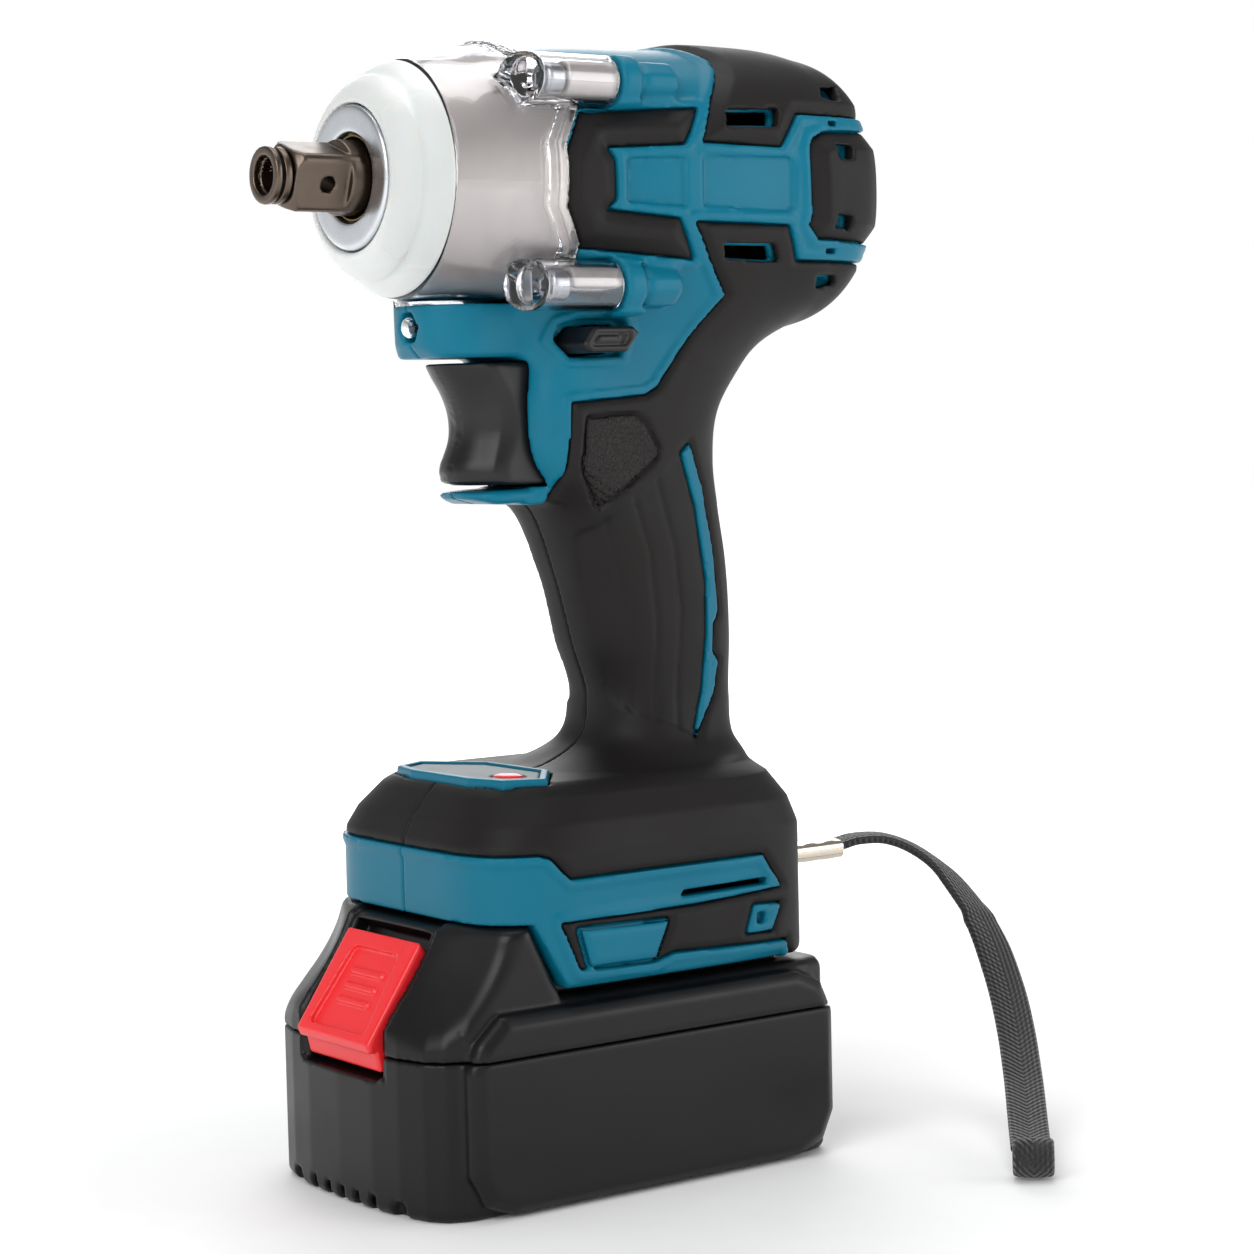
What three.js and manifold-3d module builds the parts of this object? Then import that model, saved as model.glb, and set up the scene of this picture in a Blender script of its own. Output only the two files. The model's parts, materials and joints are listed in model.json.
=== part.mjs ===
// Cordless impact wrench with a 1/2 inch square drive and a slide-on battery pack.
// Millimetres, +Z up. +X runs along the drive axis from the nose to the rear, so the
// nose points to -X and the tool's own left side faces -Y. The origin is the middle of
// the battery's footprint, on the surface that the battery stands on.
import * as THREE from "three";
import { ParametricGeometry } from "three/addons/geometries/ParametricGeometry.js";
import { mergeVertices } from "three/addons/utils/BufferGeometryUtils.js";
import Module from "manifold-3d";

const wasm = await Module();
wasm.setup();

// ---- driving dimensions ----------------------------------------------------
const AXIS_Z = 220.9;        // height of the drive axis
const GAP = 0.3;             // clearance between touching pieces
const SKIN = 1.4;            // thickness of the rubber overmould
const WALL = 3.4;            // from the outer surface to the inside of the housing
const NOSE_X = -65.9;        // front end of the square drive
const DRIVE = 12.7;          // across the flats of the square drive
const DRIVE_TURN = 20;       // how far the square stands turned about its axis, degrees
const TIP_R = 6.15;          // round tip of the square drive
const CASE_FRONT_X = -45.1;  // front face of the nose
const CASE_REAR_X = -8;      // joint face between the hammer case and the housing
const CASE_FLOOR_Z = 192;    // flat underside of the hammer case
const BOSS_Y = 26;           // screw bosses, from the middle plane
const BOSS_HIGH_Z = 241;
const BOSS_LOW_Z = 197;
const REAR_X = 80;           // rear of the motor housing
const GRIP_BOTTOM_Z = 90;    // deck of the foot
const BATTERY_Z = 45;        // top of the battery under the foot
const BATTERY_SEAM_Z = 34;   // joint between the battery's two shells
const BATTERY_HALF_WIDTH = 39;
const CELL_R = 9.1;
const CELL_PITCH = 18.2;

// gears of the single planetary stage: a 9-tooth sun, two 20-tooth planets, a 49-tooth ring
const MODULE = 0.9;
const SUN_TEETH = 9;
const PLANET_TEETH = 20;
const RING_TEETH = SUN_TEETH + 2 * PLANET_TEETH;
const ORBIT_R = (MODULE * (SUN_TEETH + PLANET_TEETH)) / 2;
const TOOTH_HEIGHT = 0.34;   // half the height of a rounded tooth
const TOOTH_PLAY = 0.12;     // each gear is this much thinner than its pitch line

// ---- materials -------------------------------------------------------------
const finish = (color, roughness, metalness = 0) =>
  new THREE.MeshStandardMaterial({ color, roughness, metalness });
const TEAL = finish(0x0e7a92, 0.45);
const RUBBER = finish(0x2b2828, 0.75);
const BLACK_PLASTIC = finish(0x1d1c1d, 0.45);
const ALUMINIUM = finish(0xb9b4ae, 0.5, 0.9);
const ZINC = finish(0xb5bac0, 0.3, 1);
const GUNMETAL = finish(0x5a5048, 0.35, 1);
const STEEL = finish(0x9a9c9e, 0.3, 1);
const BRONZE = finish(0x7c6a45, 0.4, 1);
const CLEAR = new THREE.MeshStandardMaterial({
  color: 0xe6e6f4, roughness: 0.05, transparent: true, opacity: 0.35 });
const FROSTED = finish(0xe4e8ea, 0.5);
const RED = finish(0xe8262e, 0.35);
const COPPER = finish(0xb0683a, 0.4, 1);
const BOARD = finish(0x1c5c34, 0.5);
const LABEL = finish(0x8a9296, 0.3);
const CELL_WRAP = finish(0x2c6fa8, 0.4);
const WEBBING = finish(0x161616, 0.9);
const NICKEL = finish(0xc9c2b6, 0.25, 1);

// ---- solids ----------------------------------------------------------------
const P2 = (x, y) => new THREE.Vector2(x, y);
const P3 = (x, y, z) => new THREE.Vector3(x, y, z);
const radians = THREE.MathUtils.degToRad;

// A closed three.js geometry as a manifold solid, with its faces turned outwards.
function solid(geometry) {
  const bare = geometry.clone();
  for (const name of Object.keys(bare.attributes)) {
    if (name !== "position") bare.deleteAttribute(name);
  }
  const merged = mergeVertices(bare, 1e-4);
  const position = merged.attributes.position;
  const corner = (i) => P3().fromBufferAttribute(position, i);
  const faces = [];
  let volume = 0;
  for (let i = 0; i < merged.index.count; i += 3) {
    const [a, b, c] = [0, 1, 2].map((k) => merged.index.getX(i + k));
    if (a === b || b === c || a === c) continue;
    faces.push(a, b, c);
    volume += corner(a).dot(corner(b).cross(corner(c)));
  }
  if (volume < 0) {
    for (let i = 0; i < faces.length; i += 3) {
      [faces[i], faces[i + 1]] = [faces[i + 1], faces[i]];
    }
  }
  return new wasm.Manifold(new wasm.Mesh({
    numProp: 3,
    vertProperties: new Float32Array(position.array),
    triVerts: new Uint32Array(faces),
  }));
}

const join = (...parts) => parts.reduce((sum, part) => sum.add(part));
const cut = (body, ...tools) => tools.reduce((rest, tool) => rest.subtract(tool), body);

// A box between two corners.
function box(x0, x1, y0, y1, z0, z1) {
  const shape = new THREE.BoxGeometry(x1 - x0, y1 - y0, z1 - z0);
  shape.translate((x0 + x1) / 2, (y0 + y1) / 2, (z0 + z1) / 2);
  return solid(shape);
}

// A cylinder along X about (y, z).
function barX(x0, x1, r, y = 0, z = AXIS_Z, sides = 20) {
  const shape = new THREE.CylinderGeometry(r, r, x1 - x0, sides);
  shape.rotateZ(Math.PI / 2).translate((x0 + x1) / 2, y, z);
  return solid(shape);
}

// A body of revolution about the line along X through (y, z); the profile is [x, radius].
function turned(profile, sides = 24, y = 0, z = AXIS_Z) {
  const shape = new THREE.LatheGeometry(profile.map(([x, r]) => P2(r, x)), sides);
  shape.rotateZ(-Math.PI / 2).translate(0, y, z);
  return solid(shape);
}

// An outline in the XZ plane carried from y0 to y1.
function plateY(outline, y0, y1) {
  const shape = new THREE.Shape(outline.map(([x, z]) => P2(x, z)));
  const geometry = new THREE.ExtrudeGeometry(shape, { depth: y1 - y0, bevelEnabled: false });
  return solid(geometry.rotateX(Math.PI / 2).translate(0, y1, 0));
}

// An outline in the XY plane carried from z0 to z1.
function plateZ(outline, z0, z1) {
  const shape = new THREE.Shape(outline.map(([x, y]) => P2(x, y)));
  const geometry = new THREE.ExtrudeGeometry(shape, { depth: z1 - z0, bevelEnabled: false });
  return solid(geometry.translate(0, 0, z0));
}

// An outline with both sides of the middle plane, from its points on the side y >= 0.
const bothSides = (half) => [...half, ...half.slice().reverse().map(([x, y]) => [x, -y])];

// A loft through rounded sections. place(station, side, top) gives a point of a section
// from two numbers between -1 and 1, and squareness 2 is an ellipse.
function loft(stations, place, sides = 16) {
  const stacks = stations.length + 1;
  const point = (u, v, target) => {
    const row = Math.round(v * stacks);
    const station = stations[Math.min(Math.max(row - 1, 0), stations.length - 1)];
    const turn = 2 * Math.PI * (u === 1 ? 0 : u);
    const reach = row === 0 || row === stacks ? 0 : 1;
    const power = 2 / station.squareness;
    const side = reach * Math.sign(Math.cos(turn)) * Math.abs(Math.cos(turn)) ** power;
    const top = reach * Math.sign(Math.sin(turn)) * Math.abs(Math.sin(turn)) ** power;
    target.copy(place(station, side, top));
  };
  return solid(new ParametricGeometry(point, sides, stacks));
}

// The outline moved outwards by a distance, with mitred corners.
function grown(outline, distance) {
  const area = outline.reduce((sum, [x, z], i) => {
    const [nextX, nextZ] = outline[(i + 1) % outline.length];
    return sum + x * nextZ - nextX * z;
  }, 0);
  const sign = Math.sign(area);
  return outline.map((point, i) => {
    const here = P2(...point);
    const before = here.clone().sub(P2(...outline.at(i - 1))).normalize();
    const after = P2(...outline[(i + 1) % outline.length]).sub(here).normalize();
    const out = P2(before.y + after.y, -before.x - after.x).normalize();
    const miter = Math.max(out.dot(P2(before.y, -before.x)), 0.5);
    return here.addScaledVector(out, (sign * distance) / miter).toArray();
  });
}

const group = new THREE.Group();

// Adds one named piece to the tool.
function piece(name, body, material) {
  const { numProp, vertProperties, triVerts } = body.getMesh();
  const positions = new Float32Array((vertProperties.length / numProp) * 3);
  for (let i = 0; i < positions.length; i += 1) {
    positions[i] = vertProperties[Math.floor(i / 3) * numProp + (i % 3)];
  }
  const geometry = new THREE.BufferGeometry();
  geometry.setAttribute("position", new THREE.BufferAttribute(positions, 3));
  geometry.setIndex(Array.from(triVerts));
  const mesh = new THREE.Mesh(geometry, material);
  mesh.name = name;
  group.add(mesh);
}

// ---- outer form of the housing ---------------------------------------------
const MOTOR_SECTIONS = [
  { x: -8, z: 220.5, halfWidth: 28.7, halfHeight: 28.7, squareness: 2.1 },
  { x: 4, z: 220.8, halfWidth: 29.8, halfHeight: 30.2, squareness: 2.2 },
  { x: 22, z: 220.5, halfWidth: 32.5, halfHeight: 31, squareness: 2.4 },
  { x: 46, z: 220, halfWidth: 34, halfHeight: 32.4, squareness: 2.5 },
  { x: 64, z: 219.5, halfWidth: 34, halfHeight: 31.6, squareness: 2.5 },
  { x: 74, z: 219.5, halfWidth: 32, halfHeight: 28.5, squareness: 2.5 },
  { x: REAR_X, z: 219.5, halfWidth: 27.5, halfHeight: 22, squareness: 2.6 },
];

const GRIP_SECTIONS = [
  { z: 84, front: -2, rear: 55, halfWidth: 26, squareness: 2.8 },
  { z: GRIP_BOTTOM_Z, front: 4, rear: 51.5, halfWidth: 22, squareness: 2.7 },
  { z: 95, front: 11, rear: 49.8, halfWidth: 18.6, squareness: 2.6 },
  { z: 104, front: 14, rear: 49.5, halfWidth: 16.8, squareness: 2.6 },
  { z: 118, front: 10.3, rear: 50.2, halfWidth: 17, squareness: 2.6 },
  { z: 135, front: 5.4, rear: 49.6, halfWidth: 17.3, squareness: 2.6 },
  { z: 148, front: 0.5, rear: 47.5, halfWidth: 18, squareness: 2.6 },
  { z: 158, front: -6, rear: 46.4, halfWidth: 19, squareness: 2.6 },
  { z: 170, front: -10.5, rear: 47.6, halfWidth: 20, squareness: 2.8 },
  { z: 182, front: -12, rear: 56, halfWidth: 21.5, squareness: 2.8 },
  { z: 194, front: -12, rear: 64, halfWidth: 23.5, squareness: 2.8 },
  { z: 206, front: -6, rear: 66, halfWidth: 25, squareness: 2.8 },
];

const FOOT_SECTIONS = [
  { z: 46, front: -36.8, rear: 54.5, halfWidth: 37.6, squareness: 5 },
  { z: 76, front: -36.8, rear: 54.5, halfWidth: 37.6, squareness: 5 },
  { z: 82, front: -33.5, rear: 53, halfWidth: 36.2, squareness: 4.6 },
  { z: 87.5, front: -29, rear: 50, halfWidth: 32.5, squareness: 4.2 },
  { z: GRIP_BOTTOM_Z, front: -26.5, rear: 46, halfWidth: 28.5, squareness: 4 },
];
const FOOT_UNDERSIDE = [
  [-60, 61.3], [-25.5, 61.3], [-17.5, 46], [-17.5, 40], [-60, 40],
];

const NOSE_BLOCK = [
  [-32.8, 195], [-31.1, 184.5], [-28.5, 181.6], [-4, 181.6], [6, 170], [16, 170], [16, 200],
  [-32.8, 200],
];
const TRIGGER_HOOK = [
  [-22.8, 153.2], [-20.5, 150.8], [-15, 149.4], [-6, 149.6], [8, 150], [8, 160], [-6, 160],
  [-7.5, 153.8],
];

const motorForm = (inset) => loft(
  MOTOR_SECTIONS.map((s, i) => ({ ...s, x: s.x - (i === MOTOR_SECTIONS.length - 1 ? inset : 0) })),
  (s, side, top) => P3(s.x, side * (s.halfWidth - inset), s.z + top * (s.halfHeight - inset)), 20);
const gripForm = (inset) => loft(
  GRIP_SECTIONS.map((s, i) => ({ ...s, z: s.z + (i === 0 ? inset * 0.2 : 0) })),
  (s, side, top) => P3(
    (s.front + s.rear) / 2 + side * ((s.rear - s.front) / 2 - inset),
    top * (s.halfWidth - inset), s.z));
const footForm = (inset) => loft(
  FOOT_SECTIONS.map((s, i) => ({ ...s, z: s.z - (i === FOOT_SECTIONS.length - 1 ? inset : 0) })),
  (s, side, top) => P3(
    (s.front + s.rear) / 2 + side * ((s.rear - s.front) / 2 - inset),
    top * (s.halfWidth - inset), s.z), 20);

// The whole outside of the tool, drawn in by a distance.
function outside(inset) {
  const noseHalf = 13.5 - inset;
  const nose = cut(plateY(grown(NOSE_BLOCK, -inset), -noseHalf, noseHalf),
    barX(-60, CASE_REAR_X, 29.4));
  const hook = plateY(grown(TRIGGER_HOOK, -inset / 3), inset - 11.5, 11.5 - inset);
  return join(motorForm(inset), gripForm(inset), footForm(inset), nose, hook);
}

const LEFT_HALF = box(-90, 120, -60, -GAP / 2, -5, 300);
const RIGHT_HALF = box(-90, 120, GAP / 2, 60, -5, 300);
const HALVES = [["left", LEFT_HALF], ["right", RIGHT_HALF]];

// ---- outlines of the rubber overmould, seen from the side -------------------
const MOTOR_PAD = [
  [-6.6, 233.3], [25.7, 234.6], [21.4, 227.7], [-0.7, 226.5], [2.9, 223.9], [2.7, 216],
  [-1.1, 213.3], [18.2, 212.7], [24.8, 201.9], [-7.4, 205.2], [-11.8, 213.5], [-11.6, 223],
];
const TOP_PAD = [
  [29.5, 247], [24.4, 228.4], [49.9, 229], [53, 235.4], [90, 235.4], [90, 265], [36, 265],
];
const REAR_PAD = [
  [59.4, 230.5], [64, 232.9], [90, 232.9], [90, 206], [62.8, 206], [59.7, 212], [61.3, 216.6],
  [61, 227.8],
];
const GRIP_PAD = [
  [24, 210.7], [28, 205.9], [33, 194], [15.8, 173.6], [-5.2, 171.8], [-8.3, 157.4],
  [-13.5, 150.3], [-60, 146], [-60, 76], [-24, 76], [-21.4, 75.1], [-17, 70.4], [35.5, 70.5],
  [44.3, 62.6], [16.5, 61.2], [-19.4, 61], [-14.8, 50.7], [3.9, 50.1], [8.6, 52.2],
  [46.5, 53.3], [46.5, 46], [90, 46], [90, 202.9], [55.1, 203], [48, 210.7],
];
const GRIP_STRIP = [
  [34.4, 160.7], [37, 161.3], [40.5, 145], [43, 126], [42, 118.7], [43, 111], [36.9, 94.5],
  [38.8, 120], [38, 140],
];
const SIDE_INSERT = [[-14.5, 59], [7.7, 58.5], [4.4, 51.4], [-11.6, 51.9]];
const HOOK_PLATE = [[31.1, 58.9], [39.1, 59.1], [38.4, 53.4], [30.4, 53.4]];

// ---- housing shells and overmould -------------------------------------------
const OUTER = outside(0);
const CORE = outside(SKIN + GAP);
const CAVITY = join(
  motorForm(WALL),
  cut(gripForm(WALL), box(-60, 120, -60, 60, 0, 84.2)),
  cut(footForm(WALL), box(-60, 120, -60, 60, 0, 61)),
  box(1.6, 26.4, -15.4, 15.4, 56, 62));
const BATTERY_BAY = join(
  box(-60, 46, -31, 31, 40, 57),
  box(-60, 120, -60, 60, 30, BATTERY_Z + GAP),
  plateY(FOOT_UNDERSIDE, -60, 60));

const leverSlot = box(-11.2, 11.2, -40, 40, 181.2, 189);
const triggerSlot = join(
  box(-30, 8, -11.6, 11.6, 153.6, 181.4), box(4, 34, -12.5, 12.5, 155, 181));
const caseSocket = join(
  barX(-60, 6, 26.9), barX(-60, CASE_REAR_X + 0.2, 40), box(-60, -2, -8, 8, 192, 250));
const bosses = (x0, x1, r) => [BOSS_HIGH_Z, BOSS_LOW_Z].flatMap(
  (z) => [-BOSS_Y, BOSS_Y].map((y) => barX(x0, x1, r, y, z, 12)));
// The webs that tie the four screw bosses to the hammer case.
const bossWebs = (x0, x1, reach) => [BOSS_HIGH_Z, BOSS_LOW_Z].flatMap(
  (z) => [[-BOSS_Y, -14], [14, BOSS_Y]].map(
    ([y0, y1]) => box(x0, x1, y0, y1, z - reach, z + reach)));
const panelPocket = plateZ(bothSides([[-4, 0], [-4, 12], [-15, 26.5], [-24, 22], [-26.6, 12]]),
  GRIP_BOTTOM_Z - 3.4, 120);
const ledHole = barX(-40, -24.5, 3.2, 0, 189, 12);
const ventSlots = join(
  box(31, 48, -50, 50, 232.2, 236.2), box(31, 49, -50, 50, 202.4, 206.2),
  box(62, 69, -50, 50, 239, 242), box(68, 72.5, -50, 50, 226, 229),
  box(68, 72.5, -50, 50, 210, 213));

const shell = cut(
  join(OUTER, ...bosses(5.3, 24, 5.2)).subtract(box(-40, CASE_REAR_X, -60, 60, 191.7, 260)),
  CAVITY, BATTERY_BAY, leverSlot, triggerSlot, panelPocket, ledHole,
  cut(caseSocket, box(-34, 40, -16, 16, 150, CASE_FLOOR_Z - GAP)),
  ...bosses(-20, 5.3, 6), ...bossWebs(-12, -4.4, 3.3), ventSlots);

const padOutlines = {
  motor_pad: MOTOR_PAD, top_pad: TOP_PAD, grip_cover: GRIP_PAD,
};
const recess = (outline) => plateY(grown(outline, GAP), -60, 60);
const allRecesses = cut(
  join(recess(MOTOR_PAD), recess(TOP_PAD), recess(REAR_PAD), recess(GRIP_PAD)),
  plateY(GRIP_STRIP, -60, 60), plateY(grown(HOOK_PLATE, -GAP), -60, 60),
  plateY(grown(SIDE_INSERT, GAP), -60, 60));
const skin = cut(OUTER, outside(SKIN), BATTERY_BAY, triggerSlot, panelPocket, ventSlots);
const insertPocket = (y0, y1) => plateY(grown(SIDE_INSERT, GAP), y0, y1);
const recessedShell = cut(shell, allRecesses.subtract(CORE),
  insertPocket(-60, -36.1), insertPocket(36.1, 60));

for (const [side, half] of HALVES) {
  piece(`housing_${side}`, recessedShell.intersect(half), TEAL);
  for (const [name, outline] of Object.entries(padOutlines)) {
    const holes = name === "grip_cover"
      ? [plateY(grown(GRIP_STRIP, GAP), -60, 60), plateY(grown(HOOK_PLATE, GAP), -60, 60),
        plateY(grown(SIDE_INSERT, 0.8), -60, 60)] : [];
    piece(`${name}_${side}`, cut(skin.intersect(plateY(outline, -60, 60)), ...holes)
      .intersect(half), RUBBER);
  }
  const outward = side === "left" ? -1 : 1;
  const faces = [outward * 36.4, outward * 37.9].sort((a, b) => a - b);
  piece(`side_insert_${side}`, plateY(SIDE_INSERT, ...faces), TEAL);
}
piece("rear_cover", skin.intersect(plateY(REAR_PAD, -60, 60)), RUBBER);

// ---- hammer case, clear cover, bumper and nose -------------------------------
const CASE_PROFILE = [
  [-42.5, 14.4], [-41, 17.5], [-38.5, 20.6], [-34.5, 23.2], [-28, 25.4], [-20, 26.6], [-8, 27.6],
];
const aboveFloor = (height) => box(-80, 40, -60, 60, height, 300);
const caseBlank = turned([
  [-42.5, 0], ...CASE_PROFILE, [CASE_REAR_X, 26.4], [3.8, 26.4], [3.8, 0]]);
const caseHollow = turned([
  [-60, 0], [-60, 9.75], [-25.6, 9.75], [-25.6, 13], [-24.5, 21.5], [-21, 22.6], [30, 22.6],
  [30, 0]]);
const hammerCase = cut(
  join(caseBlank.intersect(aboveFloor(CASE_FLOOR_Z + 1.9)),
    ...bosses(-7.7, 5, 4), ...bossWebs(-7.7, -4.7, 3)),
  caseHollow, ...bosses(-12, 20, 1.9));
piece("hammer_case", hammerCase, ALUMINIUM);

const coverOuter = turned([
  [-33.5, 0], [-33.5, 25.6], [-28, 27.5], [-20, 28.8], [-8.3, 30.2], [-8.3, 0]]);
const coverInner = turned([
  [-34, 0], [-34, 23.9], [-28, 25.8], [-20, 27], [-8, 28], [-8, 0]]);
const clearCover = cut(
  join(coverOuter, turned([[-13.5, 0], [-13.5, 30.8], [-10.5, 30.8], [-10.5, 0]]),
    ...bosses(-17, 4.9, 5.6)).intersect(aboveFloor(CASE_FLOOR_Z)),
  cut(coverInner, box(-40, 0, -60, 60, 180, CASE_FLOOR_Z + 1.6)),
  barX(-8.25, 10, 30.4), ...bosses(-30, 9, 4.3), ...bossWebs(-12, -4.4, 3.3));
piece("clear_cover", clearCover, CLEAR);

piece("front_bumper", turned([
  [-44.9, 16.2], [-43.6, 18.6], [-40.6, 21.4], [-37.6, 24.4], [-34, 25.4], [-33.8, 23.9],
  [-35.2, 23.3], [-38.7, 21.1], [-41.3, 18], [-42.8, 14.9], [-42.9, 14.3], [-44.9, 14.3],
  [-44.9, 16.2]]), FROSTED);
piece("nose_washer", turned([
  [CASE_FRONT_X, 10], [CASE_FRONT_X, 13], [-44.4, 13.9], [-42.9, 13.9], [-42.9, 10],
  [CASE_FRONT_X, 10]]), ZINC);
piece("anvil_bush", turned([
  [-46, 8.5], [-46, 9.4], [-26, 9.4], [-26, 8.5], [-46, 8.5]], 20), BRONZE);

[[-1, BOSS_HIGH_Z], [-1, BOSS_LOW_Z], [1, BOSS_HIGH_Z], [1, BOSS_LOW_Z]].forEach(
  ([side, z], i) => {
    const y = side * BOSS_Y;
    const screw = cut(
      join(barX(-12.6, -8, 3.4, y, z, 16), barX(-8.2, 4.6, 1.6, y, z, 12)),
      barX(-13, -10.4, 1.5, y, z, 6));
    piece(`case_screw_${i + 1}`, screw, STEEL);
  });

// ---- anvil and what it carries -------------------------------------------------
const squareDrive = (() => {
  const blank = new THREE.BoxGeometry(15.5, DRIVE, DRIVE);
  blank.rotateX(radians(DRIVE_TURN)).translate(-53.9, 0, AXIS_Z);
  return solid(blank).intersect(turned([
    [-61.7, 0], [-61.7, 6.4], [-60, 8.2], [-49, 8.2], [-46, 9.2], [-46, 0]], 20));
})();
const detent = (() => {
  const hole = new THREE.CylinderGeometry(1.7, 1.7, 30, 10);
  hole.rotateX(radians(90)).rotateX(radians(DRIVE_TURN)).translate(-53.5, 0, AXIS_Z);
  return solid(hole);
})();
const wing = (x0, x1, inner, outer, angle, width) => {
  const blank = new THREE.BoxGeometry(x1 - x0, width, outer - inner);
  blank.translate((x0 + x1) / 2, 0, (outer + inner) / 2).rotateX(radians(angle));
  return solid(blank.translate(0, 0, AXIS_Z));
};
const anvil = cut(
  join(
    turned([[NOSE_X, 0], [NOSE_X, 5.6], [NOSE_X + 0.6, TIP_R], [-64.3, TIP_R], [-64.1, 4.1],
      [-61.4, 4.1], [-61.2, 6], [-60.6, 6], [-60.6, 0]], 20),
    squareDrive,
    turned([[-48.6, 0], [-48.6, 8.1], [-21.2, 8.1], [-20.9, 12.5], [-14.2, 12.5], [-14.2, 0]], 20),
    wing(-20.9, -14.2, 5, 20.5, 90, 11), wing(-20.9, -14.2, 5, 20.5, 270, 11)),
  detent, barX(-70, NOSE_X + 1.3, 4.2, 0, AXIS_Z, 16), barX(-70, NOSE_X + 4, 2.6, 0, AXIS_Z, 12),
  barX(-24, -10, 3.6, 0, AXIS_Z, 12));
piece("anvil", anvil, GUNMETAL);

const ringSection = (x0, x1, r0, r1) => turned([[x0, r0], [x0, r1], [x1, r1], [x1, r0], [x0, r0]], 20);
piece("friction_ring", cut(ringSection(-63.7, -61.8, 5.35, 6.1),
  box(-66, -60, -1, 1, AXIS_Z + 2, AXIS_Z + 9)), GUNMETAL);
piece("o_ring", ringSection(-63.6, -61.9, 4.3, 5.1), RUBBER);

// ---- hammer, spindle, balls and spring -------------------------------------------
const hammer = cut(
  join(
    turned([[-13.8, 0], [-13.8, 20], [-13, 21.2], [-3, 21.2], [-2, 20.2], [-2, 0]], 24),
    wing(-20.4, -13, 12.8, 20.6, 0, 13), wing(-20.4, -13, 12.8, 20.6, 180, 13)),
  barX(-30, 5, 7.2, 0, AXIS_Z, 16), ringSection(-10.8, 5, 9.6, 15.6),
  ...[1, -1].map((side) => box(-14.5, -0.5, -2.9, 2.9,
    AXIS_Z + Math.min(side * 5, side * 9.2), AXIS_Z + Math.max(side * 5, side * 9.2))));
piece("hammer", hammer, STEEL);

const planetPockets = [1, -1].map((side) => barX(8.2, 14.6, 10.2, 0, AXIS_Z + side * ORBIT_R, 20));
const ballSeat = (side) => {
  const seat = new THREE.SphereGeometry(2.75, 10, 6);
  return solid(seat.translate(-9, 0, AXIS_Z + side * 6.2));
};
const spindle = cut(
  join(barX(-21.5, -13, 3.2, 0, AXIS_Z, 12), barX(-13.4, 7, 6.8, 0, AXIS_Z, 16),
    turned([[6, 0], [6, 18], [7, 19], [15.6, 19], [16.6, 18], [16.6, 0]], 24)),
  ...planetPockets, barX(7.2, 20, 5.4, 0, AXIS_Z, 14), ballSeat(1), ballSeat(-1),
  ...[1, -1].map((side) => barX(5, 20, 2, 0, AXIS_Z + side * ORBIT_R, 10)));
piece("spindle", spindle, STEEL);

[1, -1].forEach((side, i) => {
  const ball = new THREE.SphereGeometry(2.4, 10, 6);
  piece(`cam_ball_${i + 1}`, solid(ball.translate(-9, 0, AXIS_Z + side * 6.3)), STEEL);
  piece(`planet_pin_${i + 1}`, barX(6.3, 16.3, 1.7, 0, AXIS_Z + side * ORBIT_R, 10), STEEL);
});

// A coil spring from one point to another: turns of round wire at a mean radius.
function coil(start, end, turns, radius, wire, sides = 5) {
  const along = end.clone().sub(start);
  const across = P3(0, 1, 0);
  const upward = along.clone().cross(across).normalize();
  class Helix extends THREE.Curve {
    getPoint(t, target = P3()) {
      const angle = 2 * Math.PI * turns * t;
      return target.copy(start).addScaledVector(along, t)
        .addScaledVector(across, radius * Math.cos(angle))
        .addScaledVector(upward, radius * Math.sin(angle));
    }
  }
  const section = new THREE.Shape(Array.from({ length: sides }, (_, i) => P2(
    wire * Math.cos((2 * Math.PI * i) / sides), wire * Math.sin((2 * Math.PI * i) / sides))));
  return solid(new THREE.ExtrudeGeometry(section, {
    extrudePath: new Helix(), steps: Math.round(turns * 8), bevelEnabled: false }));
}
piece("spring_washer", ringSection(-10.5, -9.7, 9.9, 15.3), STEEL);
piece("hammer_spring", coil(P3(-8.3, 0, AXIS_Z), P3(4.6, 0, AXIS_Z), 4, 12.6, 1.05), STEEL);

// ---- planetary gears ----------------------------------------------------------------
// A gear with rounded teeth: the outline's radius swings by TOOTH_HEIGHT about the pitch circle.
// peakAt is an angle at which a tooth stands, from +Z towards -Y.
function gearOutline(teeth, peakAt, play) {
  const pitch = (MODULE * teeth) / 2;
  const points = teeth * 4;
  return Array.from({ length: points }, (_, i) => {
    const angle = (2 * Math.PI * i) / points;
    const radius = pitch + play + TOOTH_HEIGHT * Math.cos(teeth * (angle - peakAt));
    return [radius * Math.sin(angle), radius * Math.cos(angle)];
  });
}

// An outline in the YZ plane carried along X.
function plateX(outline, x0, x1, y = 0, z = 0) {
  const shape = new THREE.Shape(outline.map(([a, b]) => P2(a, b)));
  const geometry = new THREE.ExtrudeGeometry(shape, { depth: x1 - x0, bevelEnabled: false });
  geometry.rotateX(Math.PI / 2).rotateZ(Math.PI / 2);
  return solid(geometry.translate(x0, y, z));
}
[1, -1].forEach((side, i) => {
  const sunSide = side > 0 ? Math.PI : 0;
  const peak = sunSide + (side > 0 ? Math.PI / PLANET_TEETH : 0);
  const gear = plateX(gearOutline(PLANET_TEETH, peak, -TOOTH_PLAY), 8.5, 14.3, 0,
    AXIS_Z + side * ORBIT_R);
  piece(`planet_gear_${i + 1}`, gear.subtract(
    barX(8, 15, 2.05, 0, AXIS_Z + side * ORBIT_R, 10)), STEEL);
});
const ringGear = cut(barX(8, 14.6, 25.6, 0, AXIS_Z, 28),
  plateX(gearOutline(RING_TEETH, Math.PI / RING_TEETH, TOOTH_PLAY), 7, 16, 0, AXIS_Z));
piece("ring_gear", ringGear, STEEL);

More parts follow.
